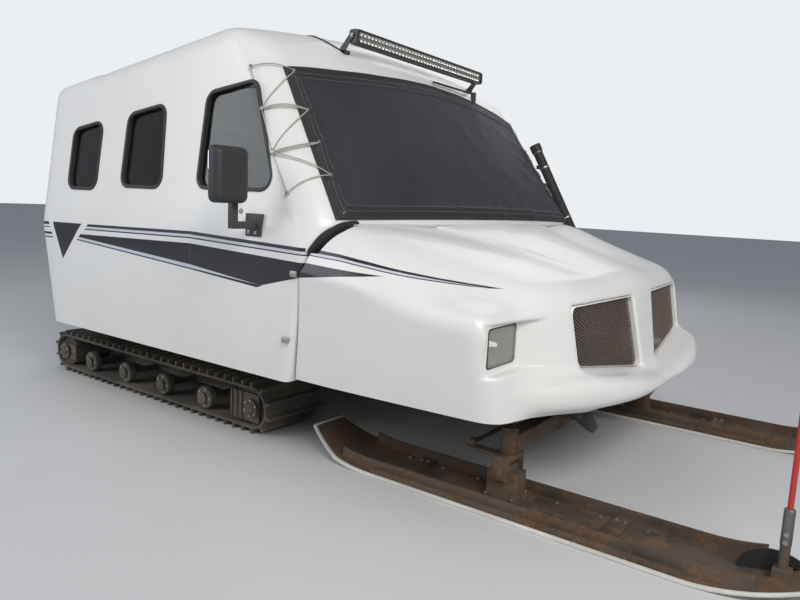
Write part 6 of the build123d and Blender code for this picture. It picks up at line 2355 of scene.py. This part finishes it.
@dataclass
class RunningGear:
    """Fittings of tracks and skis."""

    drum_x: Flat = (-2.125, -0.455)
    road_x: tuple[float, ...] = (-1.880, -1.530, -1.180, -0.830)
    hub_y: float = 0.918
    hub_z: float = 0.094
    drum_y: float = 0.931
    drum_z: float = 0.125
    hub_cap: tuple[Flat, ...] = (
        (0.0, 0.0), (0.0, 0.030), (0.006, 0.029), (0.010, 0.018), (0.012, 0.0))
    bearing: tuple[Flat, ...] = (
        (0.0, 0.0), (0.0, 0.046), (0.008, 0.045), (0.010, 0.030), (0.016, 0.027), (0.018, 0.012),
        (0.018, 0.0))
    ski_y: float = 0.790
    pan_z: float = 0.018
    marker_x: float = 1.755
    marker_z: Flat = (0.150, 0.715)

    def cap(self, centre: Point, profile: Outline, steps: int, circle: Flat, angles: Sequence[float],
            size: Flat
            ) -> list[Piece]:
        """A hub cap or bearing with its bolts.

        Args:
            centre: Middle of its foot.
            profile: Its section, as distance outward and radius.
            steps: Faces round it.
            circle: Radius of the circle of bolts, and its distance outward.
            angles: Where on the circle the bolts are.
            size: Radius and height of a bolt.

        Returns:
            The pieces.
        """
        x, y, z = centre
        sign = math.copysign(1.0, y)
        ring = [(x + circle[0] * math.cos(a), y + sign * circle[1], z + circle[0] * math.sin(a))
                for a in angles]
        return [lathe("cap", [(sign * out, radius) for out, radius in profile], centre, Axis.Y, TRACK_STEEL,
                      steps),
                bolts("cap_bolts", ring, (0.0, sign, 0.0), ZINC, *size)]

    def tracks(self, side: Side) -> None:
        """Hub caps, bearing housings and bolts of one track.

        Args:
            side: The side that it is on.
        """
        pieces = []
        for x in self.road_x:
            pieces += self.cap((x, side.value * self.hub_y, self.hub_z), self.hub_cap, 20, (0.042, -0.008),
                               around(5), (0.006, 0.005))
        for x in self.drum_x:
            pieces += self.cap((x, side.value * self.drum_y, self.drum_z), self.bearing, 28, (0.038, 0.008),
                               [0.4 + angle for angle in around(6)], (0.0055, 0.005))
        settle(join(f"track_fittings_{side.word}", pieces), ROOT, ZINC)

    def skis(self, side: Side) -> None:
        """Bolts, runner flanges, tip plate and marker stay of one ski.

        Args:
            side: The side that it is on.
        """
        middle, pan, body = side.value * self.ski_y, self.pan_z, f"ski_{side.word}"
        studs = [(x, middle + y, pan) for x in np.arange(0.14, 1.50, 0.17)
                 for y in (-0.142, 0.142, -0.095, 0.095)]
        studs += [(x + dx, middle + y, pan + 0.016) for x in (0.40, 1.24) for dx in (-0.016, 0.016)
                  for y in (-0.075, 0.075)]
        pieces = [bolts("ski_bolts", studs, (0.0, 0.0, 1.0), ZINC, 0.0075, 0.006)]
        for y in (middle - 0.149, middle + 0.149):
            pieces.append(block("flange", (0.27, y - 0.002, pan - 0.001), (1.50, y + 0.002, pan + 0.020),
                                RUSTY, 0.001, 1))
        for x in (0.765, 0.875):
            for y in (middle - 0.058, middle + 0.058):
                pieces.append(bar("stud", (x, y, pan), (x, y, pan + 0.030), 0.006, ZINC, 10))
        settle(join(f"ski_fittings_{side.word}", pieces), body, ZINC)
        dome = [(1.735 + 0.110 * math.cos(a), 0.030 + 0.085 * math.sin(a))
                for a in np.linspace(0.0, math.pi, 19)]
        plate = prism(f"tip_plate_{side.word}", dome + [(1.625, 0.012), (1.845, 0.040)], Axis.Y,
                      middle + 0.030, middle + 0.036, PLASTIC)
        settle(plate, body, PLASTIC)
        x, foot, top = self.marker_x, self.marker_z[0], self.marker_z[1]
        stay = [bar("sleeve", (x, middle, foot), (x, middle, 0.268), 0.0165, TUBE, 18),
                bolts("sleeve_bolts", [(x, middle - 0.0155, z) for z in (0.165, 0.190)], (0.0, -1.0, 0.0),
                      ZINC, 0.0055, 0.007)]
        settle(join(f"marker_stay_{side.word}", stay), body, TUBE)
        rod = [bar("rod", (x, middle, foot), (x, middle, top), 0.0088, MARKER, 18),
               bar("rod_cap", (x, middle, top - 0.020), (x, middle, top + 0.001), 0.0102, PLASTIC, 18)]
        settle(join(f"marker_rod_{side.word}", rod), body, MARKER, [f"ski_marker_{side.word}"])

    def build(self) -> None:
        """Make both sides' fittings."""
        for side in Side:
            self.tracks(side)
            self.skis(side)


@dataclass
class Interior:
    """Seats, benches and what shows behind the grilles."""

    seat_y: Flat = (0.322, 0.838)
    bench_y: Flat = (0.642, 1.098)
    voxel: float = 0.009

    def pad(self, name: str, outline: Outline, low: float, high: float) -> None:
        """A crowned cushion, drawn in between its corners and sewn in channels.

        Args:
            name: Its name.
            outline: Its side view as x and z.
            low: Where it starts across the machine.
            high: Where it ends.
        """
        made = finished(prism(name, outline, Axis.Y, low, high, SEAT), "BEVEL", width=0.030, segments=4)
        made = finished(made, "REMESH", mode="VOXEL", voxel_size=self.voxel)
        for _ in range(2):
            rows = np.array([vertex.co for vertex in made.data.vertices])
            facing = np.array([vertex.normal for vertex in made.data.vertices])
            middle, half = (rows.max(0) + rows.min(0)) / 2, (rows.max(0) - rows.min(0)) / 2
            share = np.clip((rows - middle) / half, -1, 1)
            level = (1 - share[:, 1] ** 2) * (1 - share[:, 0] ** 2 * share[:, 2] ** 2)
            pull = np.abs(facing[:, 1]) * (1 - share[:, 0] ** 2) * 0.5
            seams = sum(np.exp(-((share[:, 1] - spot) * half[1] / 0.009) ** 2) for spot in (-0.42, 0.42))
            seams = seams * (np.abs(facing[:, 1]) < 0.4)
            rows += facing * (0.0025 * level - 0.003 * pull - 0.0025 * seams - 0.002)[:, None]
            for vertex, row in zip(made.data.vertices, rows):
                vertex.co = row
            made.data.update()
        settle(made, ROOT, SEAT, angle=60.0)

    def seats(self) -> None:
        """Front seats: pedestals, cushions and backs."""
        legs = []
        for side in Side:
            low, high = sorted(side.value * y for y in self.seat_y)
            legs.append(block(f"pedestal_{side.word}", (-0.80, low + 0.06, 0.420),
                              (-0.36, high - 0.06, 0.600), PLASTIC, 0.012))
            self.pad(f"seat_cushion_{side.word}", [(-0.855, 0.600), (-0.310, 0.600), (-0.292, 0.650),
                                                   (-0.292, 0.738), (-0.735, 0.712), (-0.855, 0.700)], low,
                                                   high)
            self.pad(f"seat_back_{side.word}",
                     [(-0.858, 0.702), (-0.738, 0.714), (-0.800, 1.268), (-0.898, 1.268)], low, high)
        settle(join("seat_pedestals", legs), ROOT, PLASTIC, ["front_seats"])

    def benches(self) -> None:
        """Rear benches: boxes and cushions."""
        boxes = []
        for side in Side:
            low, high = sorted(side.value * y for y in self.bench_y)
            boxes.append(block(f"bench_{side.word}", (-1.738, low, 0.420), (-1.022, high, 0.715), LINER,
                               0.006))
            self.pad(f"bench_cushion_{side.word}", [(-1.738, 0.716), (-1.022, 0.716), (-1.022, 0.800),
                                                    (-1.738, 0.800)], low, high)
        settle(join("bench_boxes", boxes), ROOT, LINER, ["rear_benches"])

    def radiator(self) -> None:
        """Radiator core, shrouds and tray behind the grilles."""
        fin = small_box((-0.001, -0.138, -0.002), (0.001, 0.138, 0.002))
        spots = [(0.852, y, 0.580) for y in np.arange(-0.38, 0.381, 0.010)]
        pieces = [block("core", (0.815, -0.400, 0.430), (0.850, 0.400, 0.730), PLASTIC, 0.004),
                  scatter("core_fins", spots, (1.0, 0.0, 0.0), (0.0, 1.0, 0.0), fin, PLASTIC),
                  block("shroud", (0.822, -0.700, 0.425), (0.832, -0.405, 0.760), PLASTIC),
                  block("shroud", (0.822, 0.405, 0.425), (0.832, 0.700, 0.760), PLASTIC),
                  block("tray", (0.834, -0.700, 0.420), (0.965, 0.700, 0.428), PLASTIC)]
        settle(join("radiator", pieces), ROOT, PLASTIC)

    def build(self) -> None:
        """Make all of it."""
        self.seats()
        self.benches()
        self.radiator()


@dataclass
class RearEnd:
    """Rear door, roof hatch, step grip and small fittings outside."""

    form: CabForm
    window: tuple[float, float, float] = (0.200, 1.110, 1.440)
    seal_width: float = 0.014

    def door(self, nodes: Nodes) -> None:
        """Rear door with its window rubber, and roof hatch.

        Args:
            nodes: The CAD nodes by name.
        """
        softened(nodes, "rear_door", "rear_door", PLAIN_GEL, 0.003)
        softened(nodes, "roof_hatch_lid", "roof_hatch", PLAIN_GEL, 0.006)
        (half, foot, head), width = self.window, self.seal_width
        inner, outer = (rounded_polygon([(-half - grow, foot - grow), (half + grow, foot - grow),
                                         (half + grow, head + grow), (-half - grow, head + grow)],
                                         0.040 + grow)
                        for grow in (0.0, width))
        rows = ((0.0, -0.016), (0.0, 0.004), (0.2, 0.006), (0.8, 0.006), (1.0, 0.003), (1.0, -0.002))
        made = trim_ring("rear_window_seal", inner, outer, rows,
                         lambda y, z, lift: (self.form.rear - lift, y, z), SEAL)
        settle(made, "rear_door", SEAL)

    def step(self) -> None:
        """Raised grip studs on the rear step."""
        spots = [(x, y, 0.4295) for x in np.arange(-2.235, -1.965, 0.034)
                 for y in np.arange(-0.39, 0.391, 0.034)]
        stud = skin("grip", [[(size * math.cos(a), size * math.sin(a), z) for a in around(10)]
                             for z, size in ((0.0, 0.0095), (0.0020, 0.0080), (0.0028, 0.0050))],
                    ends=(False, True), shift=False)
        settle(scatter("step_grip", spots, (0.0, 0.0, 1.0), (1.0, 0.0, 0.0), stud, ALLOY), ROOT, ALLOY)

    def pipe(self) -> None:
        """Light band and clamps of the air intake."""
        foot, head = Vector((0.188, 1.247, 0.955)), Vector((-0.104, 1.168, 1.530))
        run = (head - foot).normalized()
        pieces = [bar("band", head - run * 0.062, head - run * 0.044, 0.0335, TUBE, 28)]
        for middle in (foot.lerp(head, 0.2), foot.lerp(head, 0.75)):
            pieces.append(bar("clamp", middle - run * 0.009, middle + run * 0.009, 0.0325, ZINC, 28))
        settle(join("intake_bands", pieces), ROOT, TUBE)

    def latches(self) -> None:
        """Grey catches that hold the front moulding at the seam."""
        pieces, form = [], self.form
        for side in Side:
            sign = float(side.value)
            for z in (0.560, 0.830):
                share = (z - form.bottom) / (form.belt_z - form.bottom)
                x = form.seam_lean * share - 0.012
                y = sign * (form.sill_half + (form.belt_half - form.sill_half) * share)
                low, high = sorted((y + sign * 0.001, y + sign * 0.011))
                pieces.append(block("catch", (x - 0.036, low, z - 0.012), (x, high, z + 0.012), ZINC))
                pieces.append(bolts("catch_bolt", [(x - 0.027, y + sign * 0.011, z)], (0.0, sign, 0.0), ZINC,
                                    0.005, 0.003))
        settle(join("seam_catches", pieces), ROOT, ZINC)

    def build(self, nodes: Nodes) -> None:
        """Make all of it.

        Args:
            nodes: The solids' objects by node name.
        """
        self.door(nodes)
        self.step()
        self.pipe()
        self.latches()


@dataclass
class Stage:
    """Floor, light and the camera at the photograph's place."""

    camera_place: Point = (1.9333, -3.0724, 1.12)
    yaw: float = 35.912
    pitch: float = 8.102
    roll: float = -2.697
    lens: float = 30.94

    def camera(self) -> None:
        """Put the camera where the photograph was taken."""
        yaw, pitch, roll = (math.radians(a) for a in (self.yaw, self.pitch, self.roll))
        ahead = Vector((-math.sin(yaw) * math.cos(pitch), math.cos(yaw) * math.cos(pitch), -math.sin(pitch)))
        right = ahead.cross(Vector((0, 0, 1))).normalized()
        down = -right.cross(ahead)
        image_x = right * math.cos(roll) + down * math.sin(roll)
        image_y = -right * math.sin(roll) + down * math.cos(roll)
        data = bpy.data.cameras.new("camera")
        data.lens = self.lens
        data.sensor_width = 36.0
        camera = bpy.data.objects.new("camera", data)
        turn = Matrix((image_x, -image_y, -ahead)).transposed().to_4x4()
        camera.matrix_world = Matrix.Translation(Vector(self.camera_place) + Vector((FRAME_SHIFT, 0,
                                                                                     0))) @ turn
        bpy.context.scene.collection.objects.link(camera)
        bpy.context.scene.camera = camera

    def lamp(self, name: str, place: Point, aim: Point, size: float, power: float, colour: Colour) -> None:
        """Add one soft lamp.

        Args:
            name: Its name.
            place: Where it hangs.
            aim: What it points at.
            size: Its width.
            power: Its power in watts.
            colour: Its colour.
        """
        data = bpy.data.lights.new(name, "AREA")
        data.shape = "SQUARE"
        data.size = size
        data.energy = power
        data.color = colour
        lamp = bpy.data.objects.new(name, data)
        lamp.location = place
        lamp.rotation_mode = "QUATERNION"
        lamp.rotation_quaternion = (Vector(aim) - Vector(place)).to_track_quat("-Z", "Y")
        bpy.context.scene.collection.objects.link(lamp)

    def world(self) -> None:
        """A pale even surround that the camera sees as near white."""
        world = bpy.data.worlds.new("surround")
        graph = blank_graph(world)
        path = graph.add("ShaderNodeLightPath")
        seen = graph.math("MAXIMUM", path.outputs["Is Camera Ray"], path.outputs["Is Transmission Ray"])
        soft = graph.add("ShaderNodeBackground", {"Color": (0.86, 0.90, 1.0), "Strength": 0.30})
        shown = graph.add("ShaderNodeBackground", {"Color": (0.84, 0.86, 0.88), "Strength": 1.0})
        both = graph.add("ShaderNodeMixShader", {0: seen, 1: soft.outputs[0], 2: shown.outputs[0]})
        graph.add("ShaderNodeOutputWorld", {0: both.outputs[0]})
        bpy.context.scene.world = world

    def floor(self) -> None:
        """A plain pale floor."""
        material = bpy.data.materials.new("floor")
        graph = blank_graph(material)
        shade = graph.mix(graph.noise(graph.here(), 1.5, 4.0), (0.60, 0.61, 0.62), (0.66, 0.67, 0.68))
        shader = graph.add("ShaderNodeBsdfPrincipled", {"Base Color": shade, "Roughness": 0.7})
        graph.add("ShaderNodeOutputMaterial", {0: shader.outputs[0]})
        reach = 40.0
        floor = raw_object("floor", [(-reach, -reach, 0), (reach, -reach, 0), (reach, reach, 0),
                                     (-reach, reach, 0)],
                           [(0, 1, 2, 3)])
        floor.data.materials.append(material)

    def build(self) -> None:
        """Set the whole stage."""
        self.camera()
        self.world()
        self.floor()
        self.lamp("key", (5.2, -3.6, 5.0), (0.0, 0.0, 0.9), 3.2, 330.0, (1.0, 0.97, 0.92))
        self.lamp("fill", (-3.6, -5.4, 3.4), (-0.3, 0.0, 0.9), 4.0, 130.0, (0.94, 0.97, 1.0))
        self.lamp("back", (-2.0, 5.5, 4.6), (0.0, 0.0, 1.0), 4.0, 60.0, (1.0, 1.0, 1.0))
        bpy.context.scene.view_settings.view_transform = "Standard"


PLAIN_NODES: tuple[tuple[str, AnyFinish], ...] = (
    ("windscreen_glass", SCREEN_GLASS), ("rear_door_glass", SIDE_GLASS), ("side_glass", SIDE_GLASS),
    ("engine_block", BLACK_STEEL),
)


def dress_nodes(nodes: Nodes) -> None:
    """Give its finish to each CAD node that shows as it is.

    Args:
        nodes: The CAD nodes by name.
    """
    for name, finish in PLAIN_NODES:
        for place in nodes[name].material_slots:
            place.material = finish.material()


def main() -> None:
    """Build every class in order."""
    logging.basicConfig(level=logging.INFO, format="%(name)s: %(message)s")
    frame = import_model()
    Stage().build()
    dress_nodes(frame["nodes"])
    form = CabForm()
    Cab(form).build()
    clip = FrontClip(form)
    clip.build()
    Front(clip).build()
    ScreenCover(form).build()
    LightBar(form).build()
    Mirrors().build(frame["nodes"])
    for row in SOFTENED:
        softened(frame["nodes"], *row)
    RunningGear().build()
    Interior().build()
    RearEnd(form).build(frame["nodes"])


if __name__ == "__main__":
    main()
